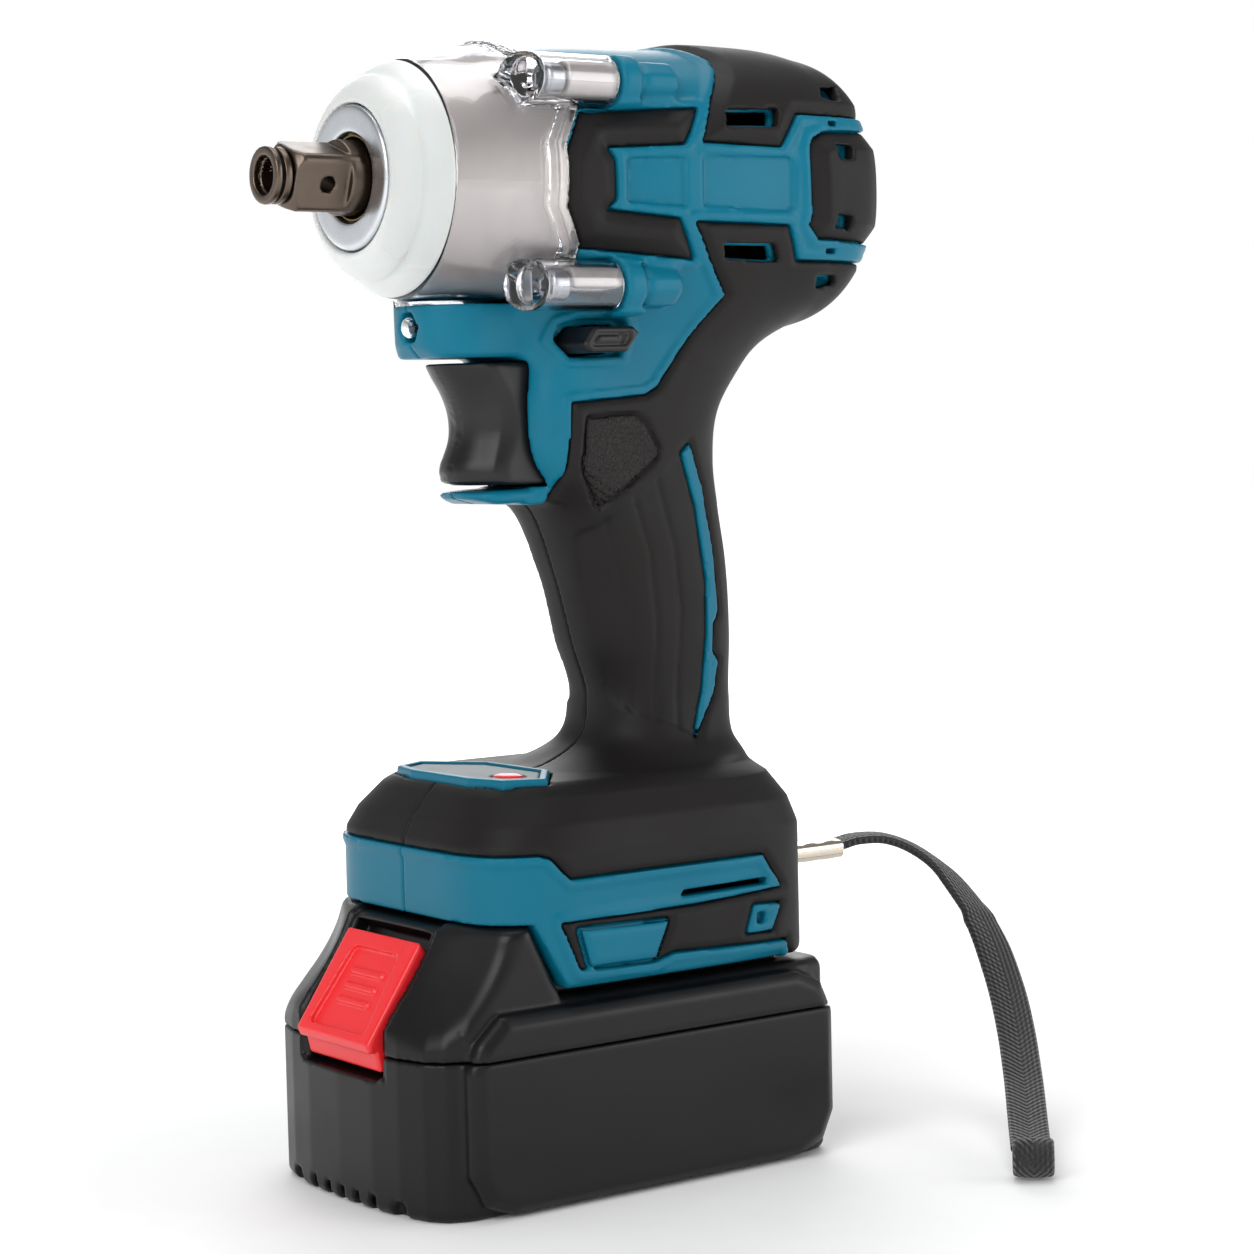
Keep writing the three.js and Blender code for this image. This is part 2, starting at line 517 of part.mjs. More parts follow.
// ---- motor -----------------------------------------------------------------------------
const rotor = join(
  plateX(gearOutline(SUN_TEETH, 0, -TOOTH_PLAY), 8.6, 14.4, 0, AXIS_Z),
  barX(14.2, 70, 3.2, 0, AXIS_Z, 16), barX(25, 52, 12.4, 0, AXIS_Z, 20));
piece("rotor", rotor, STEEL);
const stator = cut(barX(24, 53, 24.2, 0, AXIS_Z, 24), barX(20, 60, 13, 0, AXIS_Z, 20),
  ...Array.from({ length: 6 }, (_, i) => wing(20, 60, 12, 20, i * 60 + 30, 6)));
piece("stator", stator, COPPER);
const fan = cut(
  join(barX(56, 58, 21, 0, AXIS_Z, 24), barX(57, 62, 6, 0, AXIS_Z, 20),
    ...Array.from({ length: 9 }, (_, i) => wing(57.5, 62, 5, 20.5, i * 40, 1.6))),
  barX(50, 70, 3.5, 0, AXIS_Z, 16));
piece("fan", fan, BLACK_PLASTIC);
piece("bearing_plate", cut(barX(17.4, 19.6, 26.8, 0, AXIS_Z, 24), barX(10, 30, 8.9, 0, AXIS_Z, 16)),
  ALUMINIUM);
piece("front_bearing", ringSection(17.5, 22.5, 3.5, 8.6), STEEL);
piece("rear_bearing", ringSection(65, 70, 3.5, 8.6), STEEL);

// ---- controls ------------------------------------------------------------------------------
const TRIGGER_SIDE = [
  [-25.3, 181], [-23.4, 177.4], [-20.6, 172.8], [-19.4, 168.2], [-19.9, 163], [-21.9, 158.6],
  [-21.6, 155.6], [-19.4, 154.2], [-2.4, 154.2], [-2.4, 181],
];
piece("trigger", plateY(TRIGGER_SIDE, -11.1, 11.1), BLACK_PLASTIC);
piece("trigger_spring", coil(P3(-1.6, 0, 171), P3(5.2, 0, 171), 4, 2.6, 0.4), STEEL);
piece("switch_body", box(6, 32, -10.5, 10.5, 155.5, 179.5), BLACK_PLASTIC);
const LEVER_END = [
  [-10.4, 185.3], [-6, 187.6], [6.5, 188], [10.2, 186.1], [10.1, 184.1], [6.3, 182.4],
  [-4.4, 181.9],
];
piece("direction_lever", plateY(LEVER_END, -27.5, 27.5), BLACK_PLASTIC);
const lens = turned([[-32.2, 0], [-32.2, 1.2], [-31, 2.5], [-26, 2.5], [-26, 0]], 16, 0, 189);
piece("led_lens", lens, CLEAR);

const panelOutline = (inset) => bothSides([
  [-4.4 - inset, 0], [-4.4 - inset, 11.6], [-15, 26 - inset], [-23.6, 21.6 - inset],
  [-26.2 + inset, 11.6], [-26.2 + inset, 0]]);
const deck = GRIP_BOTTOM_Z;
piece("panel_bezel", cut(plateZ(panelOutline(0), deck - 3, deck + 0.9),
  plateZ(panelOutline(1.8), deck - 1, deck + 5),
  plateZ([[-19, -16], [-12, -16], [-12, -7], [-19, -7]], deck - 5, deck + 5)), TEAL);
piece("panel_label", cut(plateZ(panelOutline(2.1), deck - 0.7, deck + 0.2),
  plateZ([[-19, -16], [-12, -16], [-12, -7], [-19, -7]], deck - 5, deck + 5)), LABEL);
const buttonBlank = new THREE.CylinderGeometry(3, 3, 4.4, 20);
buttonBlank.rotateX(Math.PI / 2).scale(1, 1.35, 1).translate(-15.5, -11.5, deck - 1.5);
piece("panel_button", solid(buttonBlank), RED);

piece("controller_board", box(-24, 40, -27, 27, 71, 74), BOARD);
piece("tool_terminal_block", box(2, 26, -15, 15, 57.4, 66), BLACK_PLASTIC);

// ---- battery ------------------------------------------------------------------------------
const bow = (front) => [
  [front, 0], [front + 0.4, 13], [front + 1.6, 23], [front + 4.3, 31], [front + 7.6, 35],
  [front + 12, 37.3]];
const batteryPlan = (front, rear, grow) => bothSides([
  ...bow(front).map(([x, y]) => [x, y === 0 ? 0 : y + grow]),
  [rear - 7, 37.3 + grow], [rear - 2, 35.5 + grow], [rear, 31 + grow], [rear, 0]]);
const SIDE_PLATE = [
  [-44.4, 10], [-41, 3.4], [-34, 0], [44, 0], [51, 3.4], [54.2, 10], [54.2, 33], [51, 40],
  [44, 43.3], [-36, 43.3], [-42, 38], [-44.4, 32],
];
const bodyForm = join(
  plateZ(batteryPlan(-54.3, 56.3, 0), 0, 62),
  plateY(SIDE_PLATE, -BATTERY_HALF_WIDTH, BATTERY_HALF_WIDTH));
const TOP_SIDE = [
  [-60, 42], [-52.5, 42], [-40, 60], [-37, 61], [-26, 61], [-18, BATTERY_Z - 0.3], [70, BATTERY_Z - 0.3],
  [70, -5], [-60, -5],
];
const railBlock = box(-17.5, 45, -29, 29, 40, 55);
const batteryForm = join(bodyForm.intersect(plateY(TOP_SIDE, -50, 50)), railBlock);
const packHollow = join(box(-44, 51, -33.6, 33.6, 3, 40.5), box(-51, -43, -15.6, 15.6, 3, 40.5));
const latchBay = plateY([[-62, 26], [-48, 26], [-35.5, 56.5], [-50, 66]], -15.6, 15.6);
const seam = (z0, z1) => box(-90, 90, -60, 60, z0, z1);
piece("battery_lower_case", cut(batteryForm, packHollow, latchBay,
  seam(BATTERY_SEAM_Z, 100)), BLACK_PLASTIC);
piece("battery_upper_case", cut(batteryForm, packHollow, latchBay,
  box(2, 26, -20, 20, 46, 60), seam(-10, BATTERY_SEAM_Z + GAP)), BLACK_PLASTIC);
piece("latch_button", plateY([
  [-55.6, 36], [-52, 31.5], [-47.6, 30], [-43.6, 30], [-43.6, 33.5], [-46.1, 33.5], [-38.2, 52],
  [-41.6, 57]], -15, 15), RED);
piece("latch_spring", coil(P3(-46.6, 0, 4), P3(-46.6, 0, 29.1), 4, 1.9, 0.4), STEEL);
const cells = [0, 1].flatMap((row) => Array.from({ length: 5 }, (_, i) => {
  const cell = new THREE.CylinderGeometry(CELL_R + 0.2, CELL_R + 0.2, 65, 10);
  return solid(cell.translate((i - 1.75) * CELL_PITCH, 0, 12.7 + row * CELL_PITCH));
}));
const holders = [[-32.6, -29], [29, 32.6]].map(([y0, y1]) => box(-40, 49.4, y0, y1, 4, 39.6));
piece("cell_pack", join(...cells, ...holders), CELL_WRAP);
piece("battery_terminals", box(4, 24, -14, 14, 46.4, 53.5), BLACK_PLASTIC);

// ---- wrist strap ---------------------------------------------------------------------------
const STRAP_ROUTE = [
  [88, -0.4, 63.7], [92.4, -2.1, 64.7], [98.9, -5, 64.4], [105.1, -9, 61.4], [110.2, -14, 55.8],
  [113, -20.5, 48], [113.2, -24.1, 43.7], [112.6, -28, 39.2], [111, -32.5, 34.4],
  [108.6, -37.5, 29.6], [105.3, -42.9, 24.9], [101.4, -48.5, 20.4], [97, -54.2, 16.4],
  [92.3, -60, 13], [82.4, -71.5, 8], [74.6, -80.5, 5.2],
];
const STRAP_WIDTH = 9;
const STRAP_THICK = 2.6;
piece("strap_anchor", box(54.9, 66.6, -3.4, 3.4, 58.5, 63.2), WEBBING);
piece("strap_ferrule", box(67, 86, -4.9, 4.9, 60.6, 65.6), NICKEL);
const strapSection = new THREE.Shape([[-1, -0.6], [-0.8, -1], [0.8, -1], [1, -0.6], [1, 0.6],
  [0.8, 1], [-0.8, 1], [-1, 0.6]].map(([a, b]) => P2(a * STRAP_THICK / 2, b * STRAP_WIDTH / 2)));
const strapCurve = new THREE.CatmullRomCurve3(STRAP_ROUTE.map((p) => P3(...p)));
piece("wrist_strap", solid(new THREE.ExtrudeGeometry(strapSection, {
  extrudePath: strapCurve, steps: 30, bevelEnabled: false })), WEBBING);
const loopEye = new THREE.CylinderGeometry(4.6, 4.6, STRAP_WIDTH, 14);
const loopHole = new THREE.CylinderGeometry(2.2, 2.2, 20, 12);
const LOOP_TURN = radians(48);
const placeLoop = (shape) => solid(shape.rotateZ(LOOP_TURN).translate(70.4, -85.6, 4.9));
piece("strap_loop", cut(placeLoop(loopEye), placeLoop(loopHole)), WEBBING);

export default group;
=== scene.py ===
# %% [markdown]
# # A cordless impact wrench
# The tool is a clamshell of glass-filled nylon with a soft rubber overmould, a die-cast nose under a
# clear cover, a square drive, a slide-on battery and a wrist strap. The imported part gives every
# place and every moving body. This notebook dresses it: each outer piece gets its real rounding,
# grooves and grain, and each inner piece gets its own finish.

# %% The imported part
import json
import math

import bpy
import numpy as np
from mathutils import Matrix, Vector


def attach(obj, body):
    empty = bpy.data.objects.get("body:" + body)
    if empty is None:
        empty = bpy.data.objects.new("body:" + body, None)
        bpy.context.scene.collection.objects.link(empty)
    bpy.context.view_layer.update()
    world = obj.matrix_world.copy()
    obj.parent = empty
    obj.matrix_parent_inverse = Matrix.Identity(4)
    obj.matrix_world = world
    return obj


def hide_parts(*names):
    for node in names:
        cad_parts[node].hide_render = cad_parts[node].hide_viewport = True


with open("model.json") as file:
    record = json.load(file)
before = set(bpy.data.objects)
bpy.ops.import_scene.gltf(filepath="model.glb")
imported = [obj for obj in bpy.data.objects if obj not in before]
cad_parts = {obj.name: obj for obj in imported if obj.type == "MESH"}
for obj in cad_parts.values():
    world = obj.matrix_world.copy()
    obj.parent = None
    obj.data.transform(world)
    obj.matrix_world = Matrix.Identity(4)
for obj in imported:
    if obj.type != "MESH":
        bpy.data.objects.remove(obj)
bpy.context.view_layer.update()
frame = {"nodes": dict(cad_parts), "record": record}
MM = 0.001

# %% [markdown]
# ## Camera
# The view is a studio product shot: a long lens at bench height, turned 36 degrees to the tool's
# left front. A camera built from its own three axes can also take the slight roll of the shot.

# %% Camera
AZIMUTH, PITCH, ROLL = (math.radians(a) for a in (-36.178, 3.943, -1.32))
LOOK_AT = Vector((26.217, 0, 120.241)) * MM
DISTANCE = 698.946 * MM
back = Vector((math.sin(AZIMUTH) * math.cos(PITCH), -math.cos(AZIMUTH) * math.cos(PITCH),
               math.sin(PITCH)))
right = (-back).cross(Vector((0, 0, 1))).normalized()
up = back.cross(right)
rolled_right = math.cos(ROLL) * right + math.sin(ROLL) * up
rolled_up = math.cos(ROLL) * up - math.sin(ROLL) * right
camera_data = bpy.data.cameras.new("camera")
camera_data.sensor_width, camera_data.lens = 36, 87.14
camera = bpy.data.objects.new("camera", camera_data)
turn = Matrix((rolled_right, rolled_up, back)).transposed().to_4x4()
camera.matrix_world = Matrix.Translation(LOOK_AT + back * DISTANCE) @ turn
bpy.context.scene.collection.objects.link(camera)
bpy.context.scene.camera = camera

# %% [markdown]
# ## Light and floor
# Soft boxes give broad, even highlights that show where a surface bends. One large box stands at
# the upper left, one fills from the right, one grazes from behind, and a bright world lifts the rest.

# %% Light and floor
def soft_box(name, place, size, power):
    """A square area light at a place in metres that looks at the middle of the tool."""
    data = bpy.data.lights.new(name, "AREA")
    data.size, data.energy = size, power
    lamp = bpy.data.objects.new(name, data)
    lamp.location = place
    lamp.rotation_euler = (LOOK_AT - Vector(place)).to_track_quat("-Z", "Y").to_euler()
    bpy.context.scene.collection.objects.link(lamp)


soft_box("key_box", (-0.85, -0.5, 0.75), 0.7, 7)
soft_box("fill_box", (0.75, -0.75, 0.4), 0.6, 3)
soft_box("top_box", (0.1, 0.1, 1.1), 0.8, 5)
soft_box("rear_box", (0.6, 0.9, 0.6), 0.7, 5)
world = bpy.data.worlds.new("pale_room")
world.use_nodes = True
room = world.node_tree
# The room is white where the lens looks past the tool, and dimmer as a light, so that black
# rubber stays black.
room_light = room.nodes["Background"]
room_light.inputs["Color"].default_value = (1, 1, 1, 1)
# Its walls are brightest near the bench and fade upwards, so that reflections have no hard line.
direction = room.nodes.new("ShaderNodeTexCoord")
height = room.nodes.new("ShaderNodeSeparateXYZ")
fade = room.nodes.new("ShaderNodeMapRange")
for name, value in (("From Min", 0.0), ("From Max", 0.5), ("To Min", 0.95), ("To Max", 0.32)):
    fade.inputs[name].default_value = value
room.links.new(direction.outputs["Generated"], height.inputs[0])
room.links.new(height.outputs["Z"], fade.inputs["Value"])
room.links.new(fade.outputs["Result"], room_light.inputs["Strength"])
backdrop = room.nodes.new("ShaderNodeBackground")
backdrop.inputs["Color"].default_value = (1, 1, 1, 1)
seen = room.nodes.new("ShaderNodeLightPath")
either = room.nodes.new("ShaderNodeMixShader")
room.links.new(seen.outputs["Is Camera Ray"], either.inputs[0])
room.links.new(room_light.outputs[0], either.inputs[1])
room.links.new(backdrop.outputs[0], either.inputs[2])
room.links.new(either.outputs[0], room.nodes["World Output"].inputs["Surface"])
bpy.context.scene.world = world
bpy.context.scene.view_settings.view_transform = "Standard"

# %% [markdown]
# ## A place for shapes
# Every new piece is a set of points and faces worked out as whole arrays. One function puts them in
# a mesh, with the places in the mesh itself, so the object stays at the origin.

# %% A piece from points and faces
def new_piece(name, points, faces, material, body, slot, replaces=(), sharp=40, uv=None):
    """A mesh object from points in mm and faces with the same number of corners each.
    Edges bent by more than the sharp angle in degrees stay crisp; sharp=None rounds them all."""
    mesh = bpy.data.meshes.new(name)
    mesh.vertices.add(len(points))
    mesh.vertices.foreach_set("co", (np.asarray(points) * MM).astype(np.float32).ravel())
    mesh.loops.add(faces.size)
    mesh.loops.foreach_set("vertex_index", faces.astype(np.int32).ravel())
    mesh.polygons.add(len(faces))
    mesh.polygons.foreach_set("loop_start", np.arange(0, faces.size, faces.shape[1], dtype=np.int32))
    mesh.update(calc_edges=True)
    mesh.validate()
    if uv is not None:
        layer = mesh.uv_layers.new(name="along_and_round")
        layer.data.foreach_set("uv", uv[faces.ravel()].astype(np.float32).ravel())
    mesh.shade_smooth()
    if sharp is not None:
        mesh.set_sharp_from_angle(angle=math.radians(sharp))
    mesh.materials.append(material)
    piece = bpy.data.objects.new(name, mesh)
    bpy.context.scene.collection.objects.link(piece)
    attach(piece, body)
    if replaces:
        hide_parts(*replaces)
    print(f"{name}: {len(points)} points, {len(faces)} faces")
    return piece


# %% [markdown]
# ## Finishes
# Each finish starts from what the real surface is. A moulded plastic has a spark-eroded grain that
# breaks up its highlight; a rubber is rougher and darker; a cast metal is sandy; a turned metal has
# rings. Noise on Object coordinates does all of these but the rings, with its scale worked out from
# millimetres.

# %% Nodes and colours
def linear(code):
    """A linear RGBA colour from an sRGB hex value."""
    srgb = np.array([int(code[i:i + 2], 16) for i in (1, 3, 5)]) / 255
    rgb = np.where(srgb <= 0.04045, srgb / 12.92, ((srgb + 0.055) / 1.055) ** 2.4)
    return (*rgb.tolist(), 1)


def add_node(material, kind, inputs=(), **settings):
    """A node with its settings, and its inputs each set to a value or linked to a socket."""
    tree = material.node_tree
    node = tree.nodes.new(kind)
    for name, value in settings.items():
        setattr(node, name, value)
    for name, value in dict(inputs).items():
        if isinstance(value, bpy.types.NodeSocket):
            tree.links.new(value, node.inputs[name])
        else:
            node.inputs[name].default_value = value
    return node


def per_mm(size):
    """A noise or Voronoi scale whose features are about that many mm wide."""
    return 1 / (size * MM)


def finish(name, colour, patch, roughness, grain_mm, grain_depth, metallic=0, spread=0.08,
           patch_mm=14, **shader):
    """A surface whose colour drifts to the patch colour in soft patches, whose roughness drifts
    by the spread, and whose bump is a grain of that width and depth in mm."""
    material = bpy.data.materials.new(name)
    material.use_nodes = True
    principled = material.node_tree.nodes["Principled BSDF"]
    place = add_node(material, "ShaderNodeTexCoord").outputs["Object"]
    drift = add_node(material, "ShaderNodeTexNoise",
                     {"Vector": place, "Scale": per_mm(patch_mm), "Detail": 4})
    grain = add_node(material, "ShaderNodeTexNoise",
                     {"Vector": place, "Scale": per_mm(grain_mm), "Detail": 3})
    mix = add_node(material, "ShaderNodeMix", {"Factor": drift.outputs["Fac"]}, data_type="RGBA")
    mix.inputs[6].default_value, mix.inputs[7].default_value = linear(colour), linear(patch)
    gloss = add_node(material, "ShaderNodeMapRange",
                     {"Value": drift.outputs["Fac"], "From Min": 0.3, "From Max": 0.7,
                      "To Min": roughness - spread / 2, "To Max": roughness + spread / 2})
    bump = add_node(material, "ShaderNodeBump",
                    {"Height": grain.outputs["Fac"], "Distance": grain_depth * MM, "Strength": 1})
    material.node_tree.links.new(mix.outputs[2], principled.inputs["Base Color"])
    material.node_tree.links.new(gloss.outputs["Result"], principled.inputs["Roughness"])
    material.node_tree.links.new(bump.outputs["Normal"], principled.inputs["Normal"])
    principled.inputs["Metallic"].default_value = metallic
    for socket, value in shader.items():
        principled.inputs[socket.replace("_", " ")].default_value = value
    material.diffuse_color = linear(colour)
    return material


# %% Finishes of the plastics
# Glass-filled nylon, moulded in a spark-eroded tool: satin, with a grain of about 0.4 mm.
teal_nylon = finish("moulded_nylon_teal", "#03627a", "#046a83", 0.38, 0.4, 0.012, spread=0.06,
                    Specular_IOR_Level=0.18)
# Thermoplastic rubber, moulded over the nylon: matt, warm black, with a fine stipple.
black_rubber = finish("moulded_rubber_black", "#121010", "#181514", 0.56, 0.35, 0.02, spread=0.1,
                      Specular_IOR_Level=0.22)
# The grip's inlay has a leather grain: cells about 1.3 mm wide between fine creases.
grained_rubber = finish("moulded_rubber_leather_grain", "#141211", "#1b1817", 0.5, 0.3, 0.01,
                        Specular_IOR_Level=0.25)
# Battery shell: nylon with a satin face, nearly black.
battery_nylon = finish("moulded_nylon_black", "#0b0b0d", "#101012", 0.36, 0.35, 0.01, spread=0.08,
                       Specular_IOR_Level=0.28)
# Trigger and lever: acetal, smooth moulded, a soft highlight.
black_acetal = finish("moulded_acetal_black", "#100f10", "#151415", 0.36, 0.5, 0.008,
                      Specular_IOR_Level=0.35)
# Latch button: polypropylene, dyed through, glossy.
red_plastic = finish("moulded_polypropylene_red", "#e31f26", "#ea2a30", 0.3, 0.6, 0.006,
                     Subsurface_Weight=0.08, Subsurface_Scale=0.002)
# Bumper: milky thermoplastic elastomer that light passes into.
frosted_rubber = finish("moulded_elastomer_frosted", "#d4d7d6", "#cbcfce", 0.5, 0.5, 0.01,
                        Transmission_Weight=0.22, Subsurface_Weight=0.3, Subsurface_Scale=0.004,
                        IOR=1.46)
# Cover: polycarbonate, polished tool, clear with a cool cast.
clear_cover = finish("moulded_polycarbonate_clear", "#f5f5fa", "#f8f8fc", 0.05, 3, 0.002,
                     spread=0.02, Transmission_Weight=1.0, IOR=1.58)
# Panel label: printed polycarbonate film over grey ink.
label_film = finish("printed_film_grey", "#6d777b", "#778083", 0.55, 0.4, 0.004,
                    Specular_IOR_Level=0.2)
# Circuit board: green solder mask on glass and epoxy.
solder_mask = finish("solder_mask_green", "#14532c", "#1a6135", 0.3, 0.8, 0.02)
# Cell sleeves: heat-shrunk PVC film.
shrink_sleeve = finish("shrunk_vinyl_blue", "#2a679f", "#2f70aa", 0.3, 2, 0.02)

# %% Finishes of the metals and the webbing
# Hammer case: pressure die-cast aluminium, shot blasted, sandy grey.
cast_aluminium = finish("cast_aluminium_blasted", "#d9d1c8", "#e4ddd5", 0.52, 0.35, 0.03,
                        metallic=0.85, patch_mm=5)
# Nose disc: steel with bright zinc plating, finely turned.
zinc_steel = finish("plated_zinc_turned", "#d3d7db", "#c0c4c9", 0.28, 0.3, 0.006, metallic=1,
                    patch_mm=4)
# Drive: chrome-molybdenum steel, oil blackened to a brown grey.
gunmetal = finish("blackened_steel", "#5b5048", "#6a5e54", 0.32, 0.4, 0.006, metallic=1, patch_mm=5)
bright_steel = finish("ground_steel", "#b0b2b4", "#9fa1a3", 0.28, 0.3, 0.006, metallic=1, patch_mm=6)
nickel = finish("plated_nickel", "#cfc6b8", "#bdb4a6", 0.2, 0.8, 0.008, metallic=1, patch_mm=6)
bronze = finish("sintered_bronze", "#7d6a44", "#8b774e", 0.4, 0.3, 0.02, metallic=1, patch_mm=4)
copper = finish("enamelled_copper", "#a8612f", "#b87038", 0.35, 0.6, 0.06, metallic=1, patch_mm=4)


def crease(material, cell_mm, depth):
    """Adds a leather grain under the material's fine grain: the height falls at the borders of
    Voronoi cells of that width, in mm, to a depth in mm."""
    nodes = material.node_tree.nodes
    place = next(n for n in nodes if n.type == "TEX_COORD").outputs["Object"]
    fine = next(n for n in nodes if n.type == "BUMP")
    wander = add_node(material, "ShaderNodeTexNoise", {"Vector": place, "Scale": per_mm(cell_mm)})
    bend = add_node(material, "ShaderNodeVectorMath",
                    {0: wander.outputs["Color"], "Scale": cell_mm * 1.2 * MM}, operation="SCALE")
    bent = add_node(material, "ShaderNodeVectorMath", {0: place, 1: bend.outputs["Vector"]},
                    operation="ADD")
    cells = add_node(material, "ShaderNodeTexVoronoi",
                     {"Vector": bent.outputs["Vector"], "Scale": per_mm(cell_mm)},
                     feature="DISTANCE_TO_EDGE")
    height = add_node(material, "ShaderNodeMapRange",
                      {"Value": cells.outputs["Distance"], "From Max": 0.25})
    deep = add_node(material, "ShaderNodeBump",
                    {"Height": height.outputs["Result"], "Distance": depth * MM, "Strength": 1})
    material.node_tree.links.new(deep.outputs["Normal"], fine.inputs["Normal"])


crease(grained_rubber, 1.2, 0.13)

# %% [markdown]
# Webbing is woven: flat yarns about 0.9 mm wide pass over and under in a chevron. The strap's own
# coordinates run along it and across it in millimetres, so two crossed waves make the weave.

# %% Woven webbing
webbing = finish("woven_nylon_black", "#0d0d0e", "#161617", 0.6, 0.25, 0.03, Sheen_Weight=0.25)
weave_uv = add_node(webbing, "ShaderNodeUVMap", uv_map="along_and_round").outputs["UV"]
split = add_node(webbing, "ShaderNodeSeparateXYZ", {"Vector": weave_uv})
across = add_node(webbing, "ShaderNodeMath", {0: split.outputs["Y"]}, operation="ABSOLUTE")
slant = add_node(webbing, "ShaderNodeMath", {0: split.outputs["X"], 1: across.outputs["Value"]},
                 operation="ADD")
yarn = add_node(webbing, "ShaderNodeMath", {0: slant.outputs["Value"], 1: 2 * math.pi / 1.5},
                operation="MULTIPLY")
ridge = add_node(webbing, "ShaderNodeMath", {0: yarn.outputs["Value"]}, operation="SINE")
column = add_node(webbing, "ShaderNodeMath", {0: split.outputs["Y"], 1: 2 * math.pi / 1.1},
                  operation="MULTIPLY")
dip = add_node(webbing, "ShaderNodeMath", {0: column.outputs["Value"]}, operation="COSINE")
woven = add_node(webbing, "ShaderNodeMath", {0: ridge.outputs["Value"], 1: dip.outputs["Value"]},
                 operation="ADD")
weave_bump = add_node(webbing, "ShaderNodeBump",
                      {"Height": woven.outputs["Value"], "Distance": 0.16 * MM, "Strength": 1})
fine_bump = next(n for n in webbing.node_tree.nodes if n.type == "BUMP" and n != weave_bump)
webbing.node_tree.links.new(weave_bump.outputs["Normal"], fine_bump.inputs["Normal"])

# %% Floor
floor_paint = finish("matt_paint_white", "#f4f4f4", "#f8f8f8", 0.8, 3, 0.01)
# Past the lamps' reach the paint glows a little, so that the floor runs into the white room.
floor_place = next(n for n in floor_paint.node_tree.nodes if n.type == "TEX_COORD").outputs["Object"]
floor_reach = add_node(floor_paint, "ShaderNodeVectorMath", {0: floor_place}, operation="LENGTH")
floor_glow = add_node(floor_paint, "ShaderNodeMapRange",
                      {"Value": floor_reach.outputs["Value"], "From Min": 0.1, "From Max": 1.1,
                       "To Max": 1.0})
floor_shader = floor_paint.node_tree.nodes["Principled BSDF"]
floor_shader.inputs["Emission Color"].default_value = (1, 1, 1, 1)
floor_paint.node_tree.links.new(floor_glow.outputs["Result"],
                                floor_shader.inputs["Emission Strength"])
floor_mesh = bpy.data.meshes.new("floor")
floor_mesh.from_pydata([(-4, -4, 0), (4, -4, 0), (4, 4, 0), (-4, 4, 0)], [], [(0, 1, 2, 3)])
floor_mesh.materials.append(floor_paint)
floor = bpy.data.objects.new("floor", floor_mesh)
bpy.context.scene.collection.objects.link(floor)

# %% [markdown]
# ## The wrist strap
# The strap is flat webbing, 9 mm wide, crimped in a ferrule at the foot, and it arcs down in front
# of the tool's left side to a small sewn loop that touches the bench. Its section is a flattened
# ring that is carried along the route, with the width turned to stay square to the path.

# %% Route and profile
STRAP_ROUTE = np.array([
    [88, -0.4, 63.7], [92.4, -2.1, 64.7], [98.9, -5, 64.4], [105.1, -9, 61.4], [110.2, -14, 55.8],
    [113, -20.5, 48], [113.2, -24.1, 43.7], [112.6, -28, 39.2], [111, -32.5, 34.4],
    [108.6, -37.5, 29.6], [105.3, -42.9, 24.9], [101.4, -48.5, 20.4], [97, -54.2, 16.4],
    [92.3, -60, 13], [82.4, -71.5, 8], [74.6, -80.5, 5.2]])
STRAP_WIDTH, STRAP_THICK, BAND_POWER = 9, 2.4, 3.2


def smooth_path(route, count):
    """Points evenly numbered along a Catmull-Rom curve through the route's points."""
    ends = np.vstack([2 * route[0] - route[1], route, 2 * route[-1] - route[-2]])
    t = np.linspace(0, len(route) - 1, count)
    i = np.minimum(t.astype(int), len(route) - 2)
    f = (t - i)[:, None]
    a, b, c, d = (ends[i + k] for k in range(4))
    return 0.5 * (2 * b + (c - a) * f + (2 * a - 5 * b + 4 * c - d) * f**2
                  + (3 * b - a - 3 * c + d) * f**3)


def grid_faces(rows, columns, closed_rows=False, closed_columns=True):
    """Four-cornered faces between neighbours of a grid of points, numbered row by row."""
    i = np.arange(rows if closed_rows else rows - 1)[:, None]
    j = np.arange(columns if closed_columns else columns - 1)[None, :]
    i2, j2 = (i + 1) % rows, (j + 1) % columns
    corners = [i * columns + j, i * columns + j2, i2 * columns + j2, i2 * columns + j]
    return np.stack([np.broadcast_to(c, (len(i), j.size)) for c in corners], -1).reshape(-1, 4)


def flat_ring(sides, half_thick, half_width):
    """A flattened ring: a superellipse across the band's thickness and width. Cosine and sine
    keep their signs and are raised to 2 over its power."""
    turn = np.linspace(0, 2 * math.pi, sides, endpoint=False)
    exponent = 2 / BAND_POWER
    return (half_thick * np.sign(np.cos(turn)) * np.abs(np.cos(turn)) ** exponent,
            half_width * np.sign(np.sin(turn)) * np.abs(np.sin(turn)) ** exponent)


def band_along(path, across, half_thick, half_width, sides=28):
    """Carries the flattened ring along a path: its width follows the across vectors, its
    thickness stands square to both the path and the width. The ends are drawn to a point."""
    ahead = np.gradient(path, axis=0)
    ahead /= np.linalg.norm(ahead, axis=1, keepdims=True)
    wide = across - (across * ahead).sum(1, keepdims=True) * ahead
    wide /= np.linalg.norm(wide, axis=1, keepdims=True)
    thick = np.cross(ahead, wide)
    a, b = flat_ring(sides, half_thick, half_width)
    reach = np.ones(len(path))
    reach[[0, -1]] = 0.001
    rings = (path[:, None] + reach[:, None, None]
             * (a[None, :, None] * thick[:, None] + b[None, :, None] * wide[:, None]))
    along = np.concatenate([[0], np.cumsum(np.linalg.norm(np.diff(path, axis=0), axis=1))])
    uv = np.stack([np.broadcast_to(along[:, None], rings.shape[:2]),
                   np.broadcast_to(b[None], rings.shape[:2])], -1)
    return rings.reshape(-1, 3), grid_faces(len(path), sides), uv.reshape(-1, 2)


